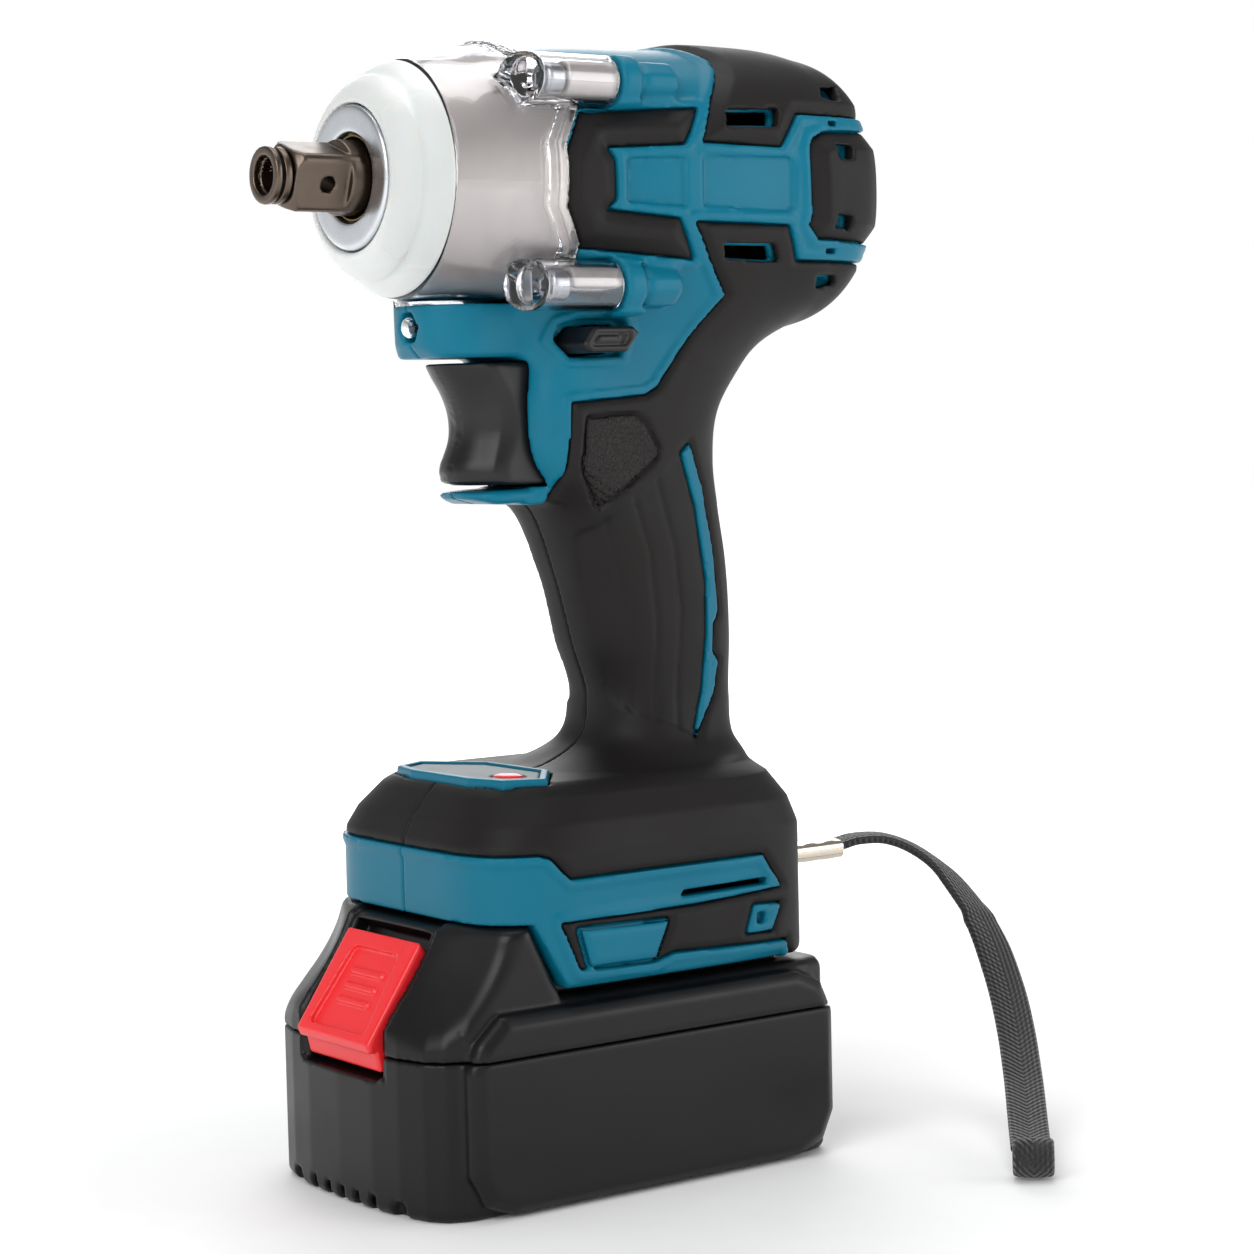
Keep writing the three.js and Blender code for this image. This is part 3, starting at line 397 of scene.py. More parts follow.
def with_closed_ends(path):
    """The path with a second point a hair inside each end, so that a band closes flat."""
    return np.vstack([path[:1], path[:1] * 0.999 + path[1:2] * 0.001, path[1:-1],
                      path[-1:] * 0.999 + path[-2:-1] * 0.001, path[-1:]])


strap_path = with_closed_ends(smooth_path(STRAP_ROUTE, 260))
strap_ahead = np.gradient(strap_path, axis=0)
# The CAD band's width stays square to the path, and starts level across the ferrule.
level = np.cross(strap_ahead, [0, 0, 1])
strap_points, strap_faces, strap_uv = band_along(strap_path, level, STRAP_THICK / 2,
                                                 STRAP_WIDTH / 2)
strap = new_piece("webbing_strap", strap_points, strap_faces, webbing, "tool", "webbing",
                  ["wrist_strap"], sharp=60, uv=strap_uv)

# %% Loop at the strap's end
LOOP_CENTRE, LOOP_TURN, LOOP_RADIUS = np.array([70.4, -85.6, 4.9]), math.radians(48), 3.3
loop_angle = np.linspace(0, 2 * math.pi, 49)[:, None]
loop_side = np.array([math.cos(LOOP_TURN), math.sin(LOOP_TURN), 0])
loop_path = with_closed_ends(LOOP_CENTRE + LOOP_RADIUS * (
    np.cos(loop_angle) * loop_side + np.sin(loop_angle) * np.array([0, 0, 1.0])))
loop_across = np.cross(loop_side, [0, 0, 1.0]) * np.ones((len(loop_path), 1))
loop_points, loop_faces, loop_uv = band_along(loop_path, loop_across, 1.1, STRAP_WIDTH / 2)
loop = new_piece("webbing_loop", loop_points, loop_faces, webbing, "tool", "webbing",
                 ["strap_loop"], sharp=60, uv=loop_uv)

# %% [markdown]
# ## Shapes as distance fields
# A moulded housing is a few swollen forms melted together, with pads, slots and grooves cut along
# outlines seen from the side. A parametric surface can't hold all those openings, so these pieces
# are made another way: each is a field on a grid, the distance in mm to its surface, negative
# inside. The lower of two fields joins them, the higher one cuts, and a surface net turns the
# field into faces. The net rounds each edge by about one grid step, as a mould does.

# %% Fields
def outline_distance(u, v, outline):
    """Distance to a closed outline: the shortest one to any of its sides, and negative where a
    ray from the point crosses an odd number of sides."""
    points = np.array(outline, float)
    nearest = np.full(np.broadcast(u, v).shape, 1e9)
    inside = np.zeros(nearest.shape, bool)
    for (au, av), (bu, bv) in zip(points, np.roll(points, -1, axis=0)):
        du, dv = bu - au, bv - av
        along = np.clip(((u - au) * du + (v - av) * dv) / (du**2 + dv**2), 0, 1)
        nearest = np.minimum(nearest, np.hypot(u - au - along * du, v - av - along * dv))
        inside ^= ((av > v) != (bv > v)) & (u < du * (v - av) / (dv if dv else 1) + au)
    return np.where(inside, -nearest, nearest).astype(np.float32)


def meet(a, b, radius=0):
    """Where both fields are inside, with the edge between them rounded over a radius."""
    higher = np.maximum(a, b)
    if radius:
        higher = higher + np.maximum(radius - np.abs(a - b), 0) ** 2 / (4 * radius)
    return higher


def join(a, b, radius=0):
    """Where either field is inside, with the valley between them filled over a radius."""
    return -meet(-a, -b, radius)


def less(a, *holes):
    """The first field with the others cut out of it."""
    for hole in holes:
        a = np.maximum(a, -hole)
    return a


def any_of(*fields):
    """Where any of the fields is inside."""
    lowest = fields[0]
    for field in fields[1:]:
        lowest = np.minimum(lowest, field)
    return lowest


def slab(values, low, high):
    """Distance to a slab between two planes square to an axis."""
    return np.maximum(low - values, values - high)


def block(grid, x, y, z, radius=0):
    """A box between two limits on each axis."""
    return meet(meet(slab(grid[0], *x), slab(grid[1], *y), radius), slab(grid[2], *z), radius)


def rod_x(grid, radius, y=0.0, z=220.9):
    """An endless round bar along X."""
    return np.hypot(grid[1] - y, grid[2] - z) - radius


def oval(u, v, half_u, half_v, power):
    """Distance to a superellipse: the value of its norm less one, over the norm's slope."""
    pu, pv = np.abs(u / half_u) + 1e-4, np.abs(v / half_v) + 1e-4
    total = pu**power + pv**power
    norm = total ** (1 / power)
    slope = norm / total * np.hypot(pu ** (power - 1) / half_u, pv ** (power - 1) / half_v)
    return ((norm - 1) / slope).astype(np.float32)


def eased(t, knots, values):
    """The value at t on a smooth curve through the knots, a cubic in each span."""
    slopes = np.gradient(values, knots)
    i = np.clip(np.searchsorted(knots, t) - 1, 0, len(knots) - 2)
    width = knots[i + 1] - knots[i]
    f = np.clip((t - knots[i]) / width, 0, 1)
    return (values[i] * (1 + 2 * f) * (1 - f) ** 2 + values[i + 1] * f**2 * (3 - 2 * f)
            + width * (slopes[i] * f * (1 - f) ** 2 - slopes[i + 1] * f**2 * (1 - f)))


def make_grid(low, high, step):
    """Three open arrays of X, Y and Z in mm, from the low corner to the high one."""
    axes = [np.arange(a - 1.5 * step, b + 2.5 * step, step) for a, b in zip(low, high)]
    return tuple(axis.astype(np.float32).reshape([-1 if i == k else 1 for i in range(3)])
                 for k, axis in enumerate(axes))


def surface_net(field, grid):
    """Points and faces on the zero level of a field. Each cell that the surface crosses gets one
    point, the mean of the crossings on the cell's edges; each grid edge that it crosses gets one
    face between its four cells, turned to face outwards."""
    inside = field < 0
    shape = np.array(field.shape)
    count = np.zeros(shape - 1, np.int8)
    for corner in np.ndindex(2, 2, 2):
        count += inside[tuple(slice(c, n - 1 + c) for c, n in zip(corner, shape))]
    cells = np.argwhere((count > 0) & (count < 8))
    number = np.full(count.shape, -1, np.int32)
    number[tuple(cells.T)] = np.arange(len(cells))
    total, crossings = np.zeros((len(cells), 3)), np.zeros(len(cells))
    faces = []
    for axis in range(3):
        ahead, u, v = (np.eye(3, dtype=int)[(axis + k) % 3] for k in range(3))
        for start in (cells, cells + u, cells + v, cells + u + v):
            a, b = field[tuple(start.T)], field[tuple((start + ahead).T)]
            crosses = (a < 0) != (b < 0)
            share = np.where(crosses, a / np.where(crosses, a - b, 1), 0)
            total += crosses[:, None] * (start + share[:, None] * ahead)
            crossings += crosses
        low = [slice(1, -1)] * 3
        high = list(low)
        low[axis], high[axis] = slice(0, -1), slice(1, None)
        leaving = inside[tuple(low)]
        edges = np.argwhere(leaving != inside[tuple(high)])
        outward = leaving[tuple(edges.T)]
        edges = edges + 1 - ahead
        ring = np.stack([number[tuple((edges - shift).T)]
                         for shift in (u + v, v, 0 * u, u)], axis=1)
        faces.append(np.where(outward[:, None], ring, ring[:, ::-1]))
    places = total / crossings[:, None]
    start = np.array([axis.ravel()[0] for axis in grid])
    step = np.array([axis.ravel()[1] - axis.ravel()[0] for axis in grid])
    return start + places * step, np.concatenate(faces)


def net_piece(name, field, grid, material, body, slot, replaces=(), mirror=False):
    """A piece from a field; a mirrored one is the same shape on the tool's right side."""
    points, faces = surface_net(np.broadcast_to(field, np.broadcast(*grid).shape), grid)
    if mirror:
        points, faces = points * [1, -1, 1], faces[:, ::-1]
    return new_piece(name, points, faces, material, body, slot, replaces, sharp=None)


# %% [markdown]
# ## The housing's outer form
# Motor barrel, grip and foot are lofts: a superellipse whose size changes along X or Z. They melt
# into each other with fillets, and a nose block under the case and a hook under the trigger join
# them. The stations follow the CAD part closely, and smooth curves join them.

# %% Outer form
AXIS_Z, CASE_REAR_X, REAR_X = 220.9, -8, 80
NOSE_TOP, RIM_WIDTH = 194.2, 5.6
SKIN, GAP, WALL = 2.1, 0.3, 4.1
BOSS_Y, BOSSES_Z = 26, (241, 197)
# x, z, half width, half height, power
MOTOR = np.array([
    [-8, 220.5, 28.7, 28.7, 2.1], [4, 220.8, 29.8, 30.2, 2.2], [22, 220.5, 32.5, 31, 2.4],
    [46, 220, 34, 32.4, 2.5], [64, 219.5, 34, 31.6, 2.5], [74, 219.5, 32, 28.5, 2.5],
    [80, 219.5, 27.5, 22, 2.6]]).T
# z, front, rear, half width, power of the rear half, power of the front half
GRIP = np.array([
    [84, -2, 55, 26, 2.8, 2.8], [90, 4, 51.5, 22, 2.7, 2.7], [95, 11, 49.8, 18.6, 2.6, 2.6],
    [104, 14, 49.5, 16.8, 2.6, 2.6], [118, 10.3, 50.2, 17, 2.6, 2.6],
    [135, 5.4, 49.6, 17.3, 2.6, 2.6], [148, 0, 47.5, 18, 2.6, 2.8], [158, -8, 46.4, 19, 2.6, 4],
    [170, -9.4, 47.6, 19.6, 2.8, 5], [182, -8.4, 56, 20.6, 2.8, 5], [194, -9, 64, 23, 2.8, 3.6],
    [206, -6, 66, 25, 2.8, 2.8]]).T
FOOT = np.array([
    [46, -36.8, 54.5, 37.6, 5, 5], [76, -36.8, 54.5, 37.6, 5, 5], [82, -33.5, 53, 36.2, 4.6, 4.6],
    [87.5, -29, 50, 32.5, 4.2, 4.2], [90, -26.5, 46, 28.5, 4, 4]]).T
NOSE_BLOCK = [[-32.8, 195], [-31.1, 184.5], [-28.5, 181.6], [-4, 181.6], [6, 170], [16, 170],
              [16, 200], [-32.8, 200]]
TRIGGER_HOOK = [[-22.8, 153.2], [-20.5, 150.8], [-15, 149.4], [-6, 149.6], [8, 150], [8, 160],
                [-6, 160], [-7.5, 153.8]]


def upright_loft(grid, stations, join_up):
    """A loft along Z: a superellipse between its front and rear, as wide as its half width."""
    z = grid[2]
    front, rear, half, back_power, front_power = (join_up(z, stations[0], row)
                                                  for row in stations[1:])
    along = grid[0] - (front + rear) / 2
    power = np.where(along < 0, front_power, back_power)
    return meet(oval(along, grid[1], (rear - front) / 2, half, power),
                slab(z, stations[0][0], stations[0][-1]), 2.5)


def rim_line(y, z):
    """Where the cover's thick rim starts, along X, from the tool's top round to its underside."""
    angle = np.arctan2(np.abs(y), z - AXIS_Z)
    return np.interp(angle, np.radians([0, 28, 42, 62, 78, 104, 120, 140, 155, 180]),
                     [-13.6, -13.6, -8.6, -8.6, -13.6, -13.6, -8.6, -8.6, -13.6, -13.6])


def outer_form(grid):
    """The whole outside of the tool above the battery."""
    x, y, z = grid
    centre, half_width, half_height, power = (eased(x, MOTOR[0], row) for row in MOTOR[1:])
    motor = meet(oval(y, z - centre, half_width, half_height, power), x - REAR_X, 4)
    motor = np.maximum(motor, CASE_REAR_X - x)
    grip = upright_loft(grid, GRIP, eased)
    foot = upright_loft(grid, FOOT, np.interp)
    # Seen from above, the nose block and the hook end in half circles.
    nose = meet(outline_distance(x, z, NOSE_BLOCK),
                np.hypot(np.minimum(x + 19.3, 0), y) - 13.5, 2)
    hook = meet(outline_distance(x, z, TRIGGER_HOOK),
                np.hypot(np.minimum(x + 11.3, 0), y) - 11.5, 2)
    form = join(join(motor, grip, 9), foot, 6)
    form = join(join(form, nose, 4), hook, 2)
    for boss_z in BOSSES_Z:
        boss = meet(rod_x(grid, 6.4, -BOSS_Y, boss_z), slab(x, 5.3, 11.5), 1)
        facets = meet(meet(slab(y, -BOSS_Y - 6, -BOSS_Y + 6), slab(z, boss_z - 5, boss_z + 5), 1),
                      (np.abs(y + BOSS_Y) + np.abs(z - boss_z)) * 0.71 - 5.4, 0.5)
        boss = join(boss, meet(facets, slab(x, 11, 22), 2), 1.5)
        form = join(form, boss, 1.5)
    return np.maximum(form, np.minimum(rim_line(y, z) + RIM_WIDTH - x, z - NOSE_TOP))


STEP = 0.62
half_grid = make_grid((-37.5, -38.5, 45), (80.5, 0, 253), STEP)
X, Y, Z = half_grid
form = outer_form(half_grid)
print("half grid:", form.shape)

# %% [markdown]
# ## The rubber overmould and the teal shells
# Seen from the side, the rubber pads fill outlines that are cut into the teal nylon. The nylon
# runs on under the rubber, thinner by the skin's thickness. Along each border the nylon keeps a
# raised lip, and each pad stands proud and falls in a wide bevel to its edge.

# %% Outlines seen from the side
MOTOR_PAD = [[-2.4, 234], [26.8, 235.8], [23.6, 230.2], [22, 227.8], [2.9, 226.7], [4.7, 224],
             [4.9, 215.5], [2.6, 213.3], [20.5, 211.6], [25.4, 202.9], [-2.4, 205.3],
             [-8, 214.9], [-8, 224.1]]
TOP_PAD = [[37.4, 247.5], [36.4, 245], [31.1, 237.9], [26.6, 228.4], [47.7, 227.9],
           [53.8, 235.6], [90, 235.6], [90, 265], [34, 265], [34, 252]]
REAR_PAD = [[55.6, 227.1], [57, 230], [60.8, 231.6], [90, 232.9], [90, 206.5], [72, 207.2],
            [58.2, 207.7], [55.4, 211], [56.2, 213]]
GRIP_PAD = [[24.5, 210.9], [30.3, 202.2], [36.7, 195.1], [22, 175], [18.5, 173.2],
            [-0.6, 171.8], [-1.2, 157.5], [-2.2, 152], [-3.4, 149], [-12, 146.6], [-60, 144], [-60, 76],
            [-24, 76], [-21.4, 75.1], [-17, 70.4], [35.5, 70.5], [41.7, 62.4], [16.5, 61.2],
            [-19.4, 61], [-14.9, 50.7], [4, 50], [10, 51.5], [43, 50.3], [46.5, 40], [90, 40],
            [90, 202.4], [53.4, 202.8], [49.8, 210.5]]
GRIP_STRIP = [[29.4, 160], [31.8, 162.1], [36.2, 152.2], [39.8, 136.2], [40.9, 123.8],
              [39, 121.2], [38.5, 114.5], [40.7, 112.2], [38.6, 105], [31.9, 95.5],
              [35.7, 106.5], [37, 118.7], [37.3, 130.9], [34.3, 147.4]]
SIDE_INSERT = [[-14.9, 59.1], [8.2, 58.5], [4.6, 51], [-12.6, 51.2]]
HOOK_PLATE = [[32.7, 59.2], [40.9, 58.7], [38, 53], [30.5, 53.1]]
LEATHER_INLAY = [[2.6, 169.2], [15.8, 169.6], [19.2, 167.6], [23, 161.6], [22.8, 159.2],
                 [9.5, 148.9], [8.1, 147.7], [6.6, 149], [2, 156.5], [1.7, 158.6]]
GRIP_PANEL = [[5, 142.4], [5.4, 143.3], [9.9, 145.9], [16.3, 150.4], [28, 159.1], [33.3, 147.4],
              [36.3, 130.9], [36, 118.7], [34.7, 106.5], [31.1, 95.6], [27.3, 97.9],
              [17.9, 101.7], [15.2, 104.1], [14.5, 108.6], [10.8, 121], [7.3, 132.7],
              [5.3, 140]]
GRIP_LINES = [[[9.9, 145.9], [14.3, 132.5], [16.9, 117.9], [18, 101.7]],
              [[16.3, 150.4], [21, 138.3], [22.9, 122.5], [22.5, 100.3]],
              [[22.1, 154.7], [27.7, 139.2], [29.4, 125.1], [27.7, 97.9]]]
SIDE_WINDOWS = [[[7.9, 224.4], [22.1, 224.8], [22, 214.3], [7.8, 214.8]],
                [[26.4, 225.1], [49.9, 225.7], [51.5, 224.4], [51.2, 214.8], [49.6, 213.4],
                 [26.2, 214.3]]]
VENTS = [[[33.6, 235.8], [48.4, 236.4], [46.7, 232.2], [32.6, 231.9]],
         [[32.3, 206.5], [46.2, 206.5], [48.4, 202.4], [33.5, 203]],
         [[63.6, 242.1], [69.6, 242.6], [68, 239], [62.2, 239.6]],
         [[63.1, 228.9], [68.3, 228.7], [67.6, 225.4], [63, 225.8]],
         [[62.4, 213.2], [67.4, 212.9], [67.3, 209.8], [62.4, 210.2]],
         [[60.5, 199.7], [66.2, 199.8], [67.6, 197.9], [61.8, 196.8]],
         [[61.8, 234.7], [66.7, 234.9], [65.2, 232.5], [61.2, 232.8]],
         [[60.7, 205.9], [64.9, 206.2], [64.9, 203.9], [60.6, 204.2]]]
LEVER_END = [[-3.3, 184.4], [-0.6, 188.2], [10, 188.3], [11.8, 186.8], [8.4, 182.7],
             [-1.6, 182.5]]
LEVER_RECESS = [[-4.8, 185.6], [-3.6, 188.9], [0.2, 190], [10.8, 190], [12.8, 187.5],
                [11.2, 181.8], [-1.6, 181.7]]
PANEL = [[-4, 0], [-4, 12], [-15, 26.5], [-24, 22], [-26.6, 12], [-26.6, 0]]
HOUSING_SCREWS = [(42, 241.5), (43, 196.5), (16, 178.5), (26, 145), (24, 112), (40, 76),
                  (-22, 68.5)]
BATTERY_BAY = [[-60, 61.3], [-25.5, 61.3], [-17.5, 46], [-17.5, 40], [-60, 40]]
STRIP_SLOT = [[11.9, 63.3], [36.7, 63.5], [36.8, 65.1], [13, 64.7]]

side = {name: outline_distance(X, Z, outline) for name, outline in {
    "motor": MOTOR_PAD, "top": TOP_PAD, "rear": REAR_PAD, "grip": GRIP_PAD,
    "strip": GRIP_STRIP, "insert": SIDE_INSERT, "hook": HOOK_PLATE, "leather": LEATHER_INLAY,
    "grip_panel": GRIP_PANEL, "lever": LEVER_RECESS,
    "bay": BATTERY_BAY, "slot": STRIP_SLOT}.items()}
windows = any_of(*(outline_distance(X, Z, outline) for outline in SIDE_WINDOWS))
vents = any_of(*(outline_distance(X, Z, outline) for outline in VENTS))
# The two large vents open into the housing; the small ones are pockets in the nylon.
open_vents = any_of(*(outline_distance(X, Z, outline) for outline in VENTS[:2]))
panel = outline_distance(X, np.abs(Y), [[x, y] for x, y in PANEL] + [[-26.6, -9], [-4, -9]])
side["grip"] = less(side["grip"], side["strip"] - GAP, side["hook"] - GAP, side["insert"] - 0.8)
pads = any_of(*(side[name] for name in ("motor", "top", "rear", "grip")))

# %% Openings that every outer piece shares
case_socket = np.minimum(np.maximum(rod_x(half_grid, 26.9), X - 6), X - CASE_REAR_X - 0.2)
case_socket = np.maximum(case_socket, NOSE_TOP - Z)
boss_wells = any_of(*(np.maximum(rod_x(half_grid, 6, -BOSS_Y, z), X - 5.3) for z in BOSSES_Z))
trigger_room = np.minimum(block(half_grid, (-30, 8), (-11.6, 11.6), (153.6, 181.4)),
                          block(half_grid, (4, 34), (-12.5, 12.5), (155, 181)))
battery_room = any_of(block(half_grid, (-60, 46), (-31, 31), (30, 57)), Z - 45.3, side["bay"])
shared_cuts = (case_socket, boss_wells, trigger_room, battery_room,
               np.maximum(panel, slab(Z, 86.6, 120)), np.maximum(side["lever"], -form - 3.2),
               outline_distance(X, Z, LEVER_END) - GAP)
middle = Y + GAP / 3


def drop(distance, width, depth):
    """A slope that starts that width inside an outline and falls by the depth at its edge."""
    return depth * np.clip(distance + width, 0, width) / width


# %% Teal nylon shells
lip = 0.55 * np.clip((pads - 1.9) / 0.7, 0, 1)
teal = np.maximum(form + lip, np.minimum(GAP - pads, form + SKIN + GAP))
teal = np.maximum(teal, np.minimum(-windows, form + lip + 0.9))
lever_lip = np.maximum(np.abs(side["lever"] - 1.1) - 0.9, form - 0.35)
teal = join(teal, np.maximum(lever_lip, -form - 3), 0.8)
hollow = np.maximum(form + WALL, 61 - Z)
led_hole = np.maximum(np.maximum(np.abs(Z - 189), np.abs(Y) * 0.87 + np.abs(Z - 189) * 0.5) - 3.2,
                      X + 24.5)
teal = less(teal, hollow, open_vents + 0.5, np.maximum(vents + 0.5, -form - 3.2), led_hole,
            *shared_cuts)
teal = less(teal, np.maximum(side["slot"], -form - 4.6), np.maximum(side["insert"] - GAP, -form - 1.5))
eyelet = np.hypot(X - 34.6, Z - 56.2) - 1.5
teal = np.maximum(less(teal, np.maximum(eyelet, -form - 2.5)), middle)
# The screws' wells open only on the tool's right side.
wells = any_of(*(np.maximum(np.hypot(X - x, Z - z) - 3.3, -form - 3.2)
                 for x, z in HOUSING_SCREWS))
for hand, mirror in (("left", False), ("right", True)):
    net_piece(f"shell_{hand}", less(teal, wells) if mirror else teal, half_grid, teal_nylon,
              "tool", "housing_plastic", [f"housing_{hand}"], mirror)

# %% Rubber pads
inner_skin = -form - SKIN
motor_pad = meet(form - 0.9 + drop(side["motor"], 3.2, 1.7), side["motor"])
top_pad = meet(form - 0.7 + drop(side["top"], 3, 1.5), side["top"])
grip_cover = meet(form + drop(side["grip"], 1.6, 0.8), side["grip"])
inlay_bed = np.maximum(side["leather"], -form - 1)
grip_cover = less(grip_cover, inlay_bed)
panel_sink = 0.45 * np.clip(-side["grip_panel"] / 0.7, 0, 1)
for line in GRIP_LINES:
    # A closed outline that goes down the line and back has its distance on both sides.
    near_line = np.abs(outline_distance(X, Z, line + line[-2:0:-1]))
    panel_sink = panel_sink + 0.4 * np.exp(-(near_line / 0.55) ** 2)
grip_cover = grip_cover + panel_sink
for name, pad in (("motor_pad", motor_pad), ("top_pad", top_pad), ("grip_cover", grip_cover)):
    pad = np.maximum(less(np.maximum(pad, inner_skin), vents, *shared_cuts), middle)
    for hand, mirror in (("left", False), ("right", True)):
        net_piece(f"rubber_{name}_{hand}", less(pad, wells) if mirror else pad, half_grid,
                  black_rubber, "tool", "overmould", [f"{name}_{hand}"], mirror)
inlay = meet(form + 0.25 + drop(side["leather"] + 0.35, 1, 0.4), side["leather"] + 0.35)
inlay = np.maximum(np.maximum(inlay, -form - 1), Y)
for hand, mirror in (("left", False), ("right", True)):
    net_piece(f"leather_grain_inlay_{hand}", inlay, half_grid, grained_rubber, "tool", "overmould",
              (), mirror)

# %% Rear cover and side inserts
rear_grid = make_grid((55, -36, 204), (82, 36, 235), STEP)
rear_side = outline_distance(rear_grid[0], rear_grid[2], REAR_PAD)
rear_vents = any_of(*(outline_distance(rear_grid[0], rear_grid[2], vent) for vent in VENTS))
rear_form = outer_form(rear_grid)
rear = meet(rear_form - 1.2 + drop(rear_side, 4, 2.4), rear_side)
rear = less(np.maximum(rear, -rear_form - SKIN), rear_vents)
net_piece("rubber_rear_cover", rear, rear_grid, black_rubber, "tool", "overmould", ["rear_cover"])
insert_grid = make_grid((-16, -38.5, 50), (9, -35.8, 60.5), STEP * 0.7)
insert_side = outline_distance(insert_grid[0], insert_grid[2], SIDE_INSERT)
insert = meet(slab(insert_grid[1], -38.1, -36.5) + drop(insert_side, 1.2, 0.5), insert_side)
for hand, mirror in (("left", False), ("right", True)):
    net_piece(f"teal_insert_{hand}", insert, insert_grid, teal_nylon, "tool", "housing_plastic",
              [f"side_insert_{hand}"], mirror)

# %% [markdown]
# ## Nose: case, clear cover, bumper
# The hammer case is a die-cast dome with a flat underside. A clear cover snaps over it, with a
# thicker wavy rim, a tube round each of the four screws and a foot flange. A frosted bumper
# closes the front, and a zinc-plated disc sits inside it.

# %% Hammer case
CASE = np.array([[-42.5, 14.4], [-41, 17.5], [-38.5, 20.6], [-34.5, 23.2], [-28, 25.4],
                 [-20, 26.6], [-8, 27.6], [4, 27.8]]).T
COVER = np.array([[-33.5, 25.6], [-28, 27.5], [-20, 28.8], [-8.3, 30.2], [6, 30.4]]).T


def dome(grid, profile, inset=0.0):
    """A turned form about the drive axis whose radius follows the profile along X."""
    slope = np.gradient(eased(grid[0], *profile).ravel(), grid[0].ravel()).reshape(-1, 1, 1)
    return (rod_x(grid, 0) - eased(grid[0], *profile) + inset) / np.hypot(1, slope)


case_grid = make_grid((-42.5, -31, 192), (5, 31, 250), STEP * 0.85)
cx, cz = case_grid[0], case_grid[2]
case = meet(meet(dome(case_grid, CASE), -42.5 - cx, 1.5), cx + 4.4)
case = any_of(case, np.maximum(rod_x(case_grid, 26.3), slab(cx, -8, 3.8)))
for boss_y in (-BOSS_Y, BOSS_Y):
    for boss_z in BOSSES_Z:
        boss = np.maximum(rod_x(case_grid, 4, boss_y, boss_z), slab(cx, -7.7, 5))
        case = join(case, boss, 1.5)
        web = block(case_grid, (-7.6, -4.8), sorted((boss_y, boss_y * 0.55)),
                    (boss_z - 2.8, boss_z + 2.8), 0.5)
        case = any_of(case, web)
hollow_case = any_of(rod_x(case_grid, 9.75), np.maximum(rod_x(case_grid, 22.6), -24.5 - cx))
case = less(meet(case, 196.2 - cz, 1.5), hollow_case,
            *(rod_x(case_grid, 1.9, y, z) for y in (-BOSS_Y, BOSS_Y) for z in BOSSES_Z))
net_piece("cast_hammer_case", case, case_grid, cast_aluminium, "tool", "cast_aluminium",
          ["hammer_case"])

# %% Clear cover
cover_grid = make_grid((-34, -32, 191), (5, 32, 252.5), STEP * 0.72)
vx, vy, vz = cover_grid
rim_x = rim_line(vy, vz)
rim_end = vx - rim_x - RIM_WIDTH + 0.2
shell = meet(dome(cover_grid, COVER), -33.5 - vx, 0.6)
ridge = np.maximum(dome(cover_grid, COVER, -0.9), np.abs(vx - rim_x - 1.4) - 1.1)
shell = join(shell, ridge, 0.8)
shell = np.maximum(shell, rim_end)
inner = dome(cover_grid, COVER, 1.5)
tubes_out, tubes_in = [], []
for tube_y in (-BOSS_Y, BOSS_Y):
    for tube_z in BOSSES_Z:
        slant = -17.5 - vx + 0.45 * (np.abs(vy) - BOSS_Y)
        tubes_out.append(np.maximum(rod_x(cover_grid, 5.5, tube_y, tube_z),
                                    np.maximum(slant, vx - 4.8)))
        tubes_in.append(np.maximum(rod_x(cover_grid, 4.35, tube_y, tube_z), -16.6 - vx))
cover = join(shell, any_of(*tubes_out), 1.6)
cover = less(cover, np.maximum(inner, rim_end), *tubes_in)
cover = less(cover, np.maximum(np.maximum(rod_x(cover_grid, 27.9), vx - 9), -14 - vx))
flange = block(cover_grid, (-33, -9), (-20, 20), (194.4, 195.8), 0.6)
cover = any_of(cover, np.maximum(flange, dome(cover_grid, COVER, 0.2)))
cover = less(cover, np.maximum(vz - NOSE_TOP - GAP, np.abs(vy) - 20.4))
cover = np.maximum(cover, np.minimum(rim_end, any_of(*tubes_out)))
net_piece("clear_nose_cover", cover, cover_grid, clear_cover, "tool", "clear_plastic",
          ["clear_cover"])

# %% [markdown]
# Turned parts are a profile of X and radius carried round the drive axis.

# %% Bumper, disc and bush
def turned(profile, sides=96, y=0.0, z=AXIS_Z):
    """Points and faces of a closed profile of (x, radius) pairs carried round an axis along X."""
    along, radius = np.array(profile, float).T
    turn = np.linspace(0, 2 * math.pi, sides, endpoint=False)[None]
    points = np.stack([np.broadcast_to(along[:, None], (len(along), sides)),
                       y + radius[:, None] * np.sin(turn), z + radius[:, None] * np.cos(turn)], -1)
    closed = not np.isclose(radius[[0, -1]], 0, atol=0.01).all()
    return points.reshape(-1, 3), grid_faces(len(along), sides, closed_rows=closed)


def round_profile(profile):
    """The closed profile with each side split and its corners cut, twice, by Chaikin's rule."""
    points = np.array(profile, float)
    for _ in range(2):
        after = np.roll(points, -1, axis=0)
        points = np.stack([0.8 * points + 0.2 * after, 0.2 * points + 0.8 * after], 1).reshape(-1, 2)
    return points


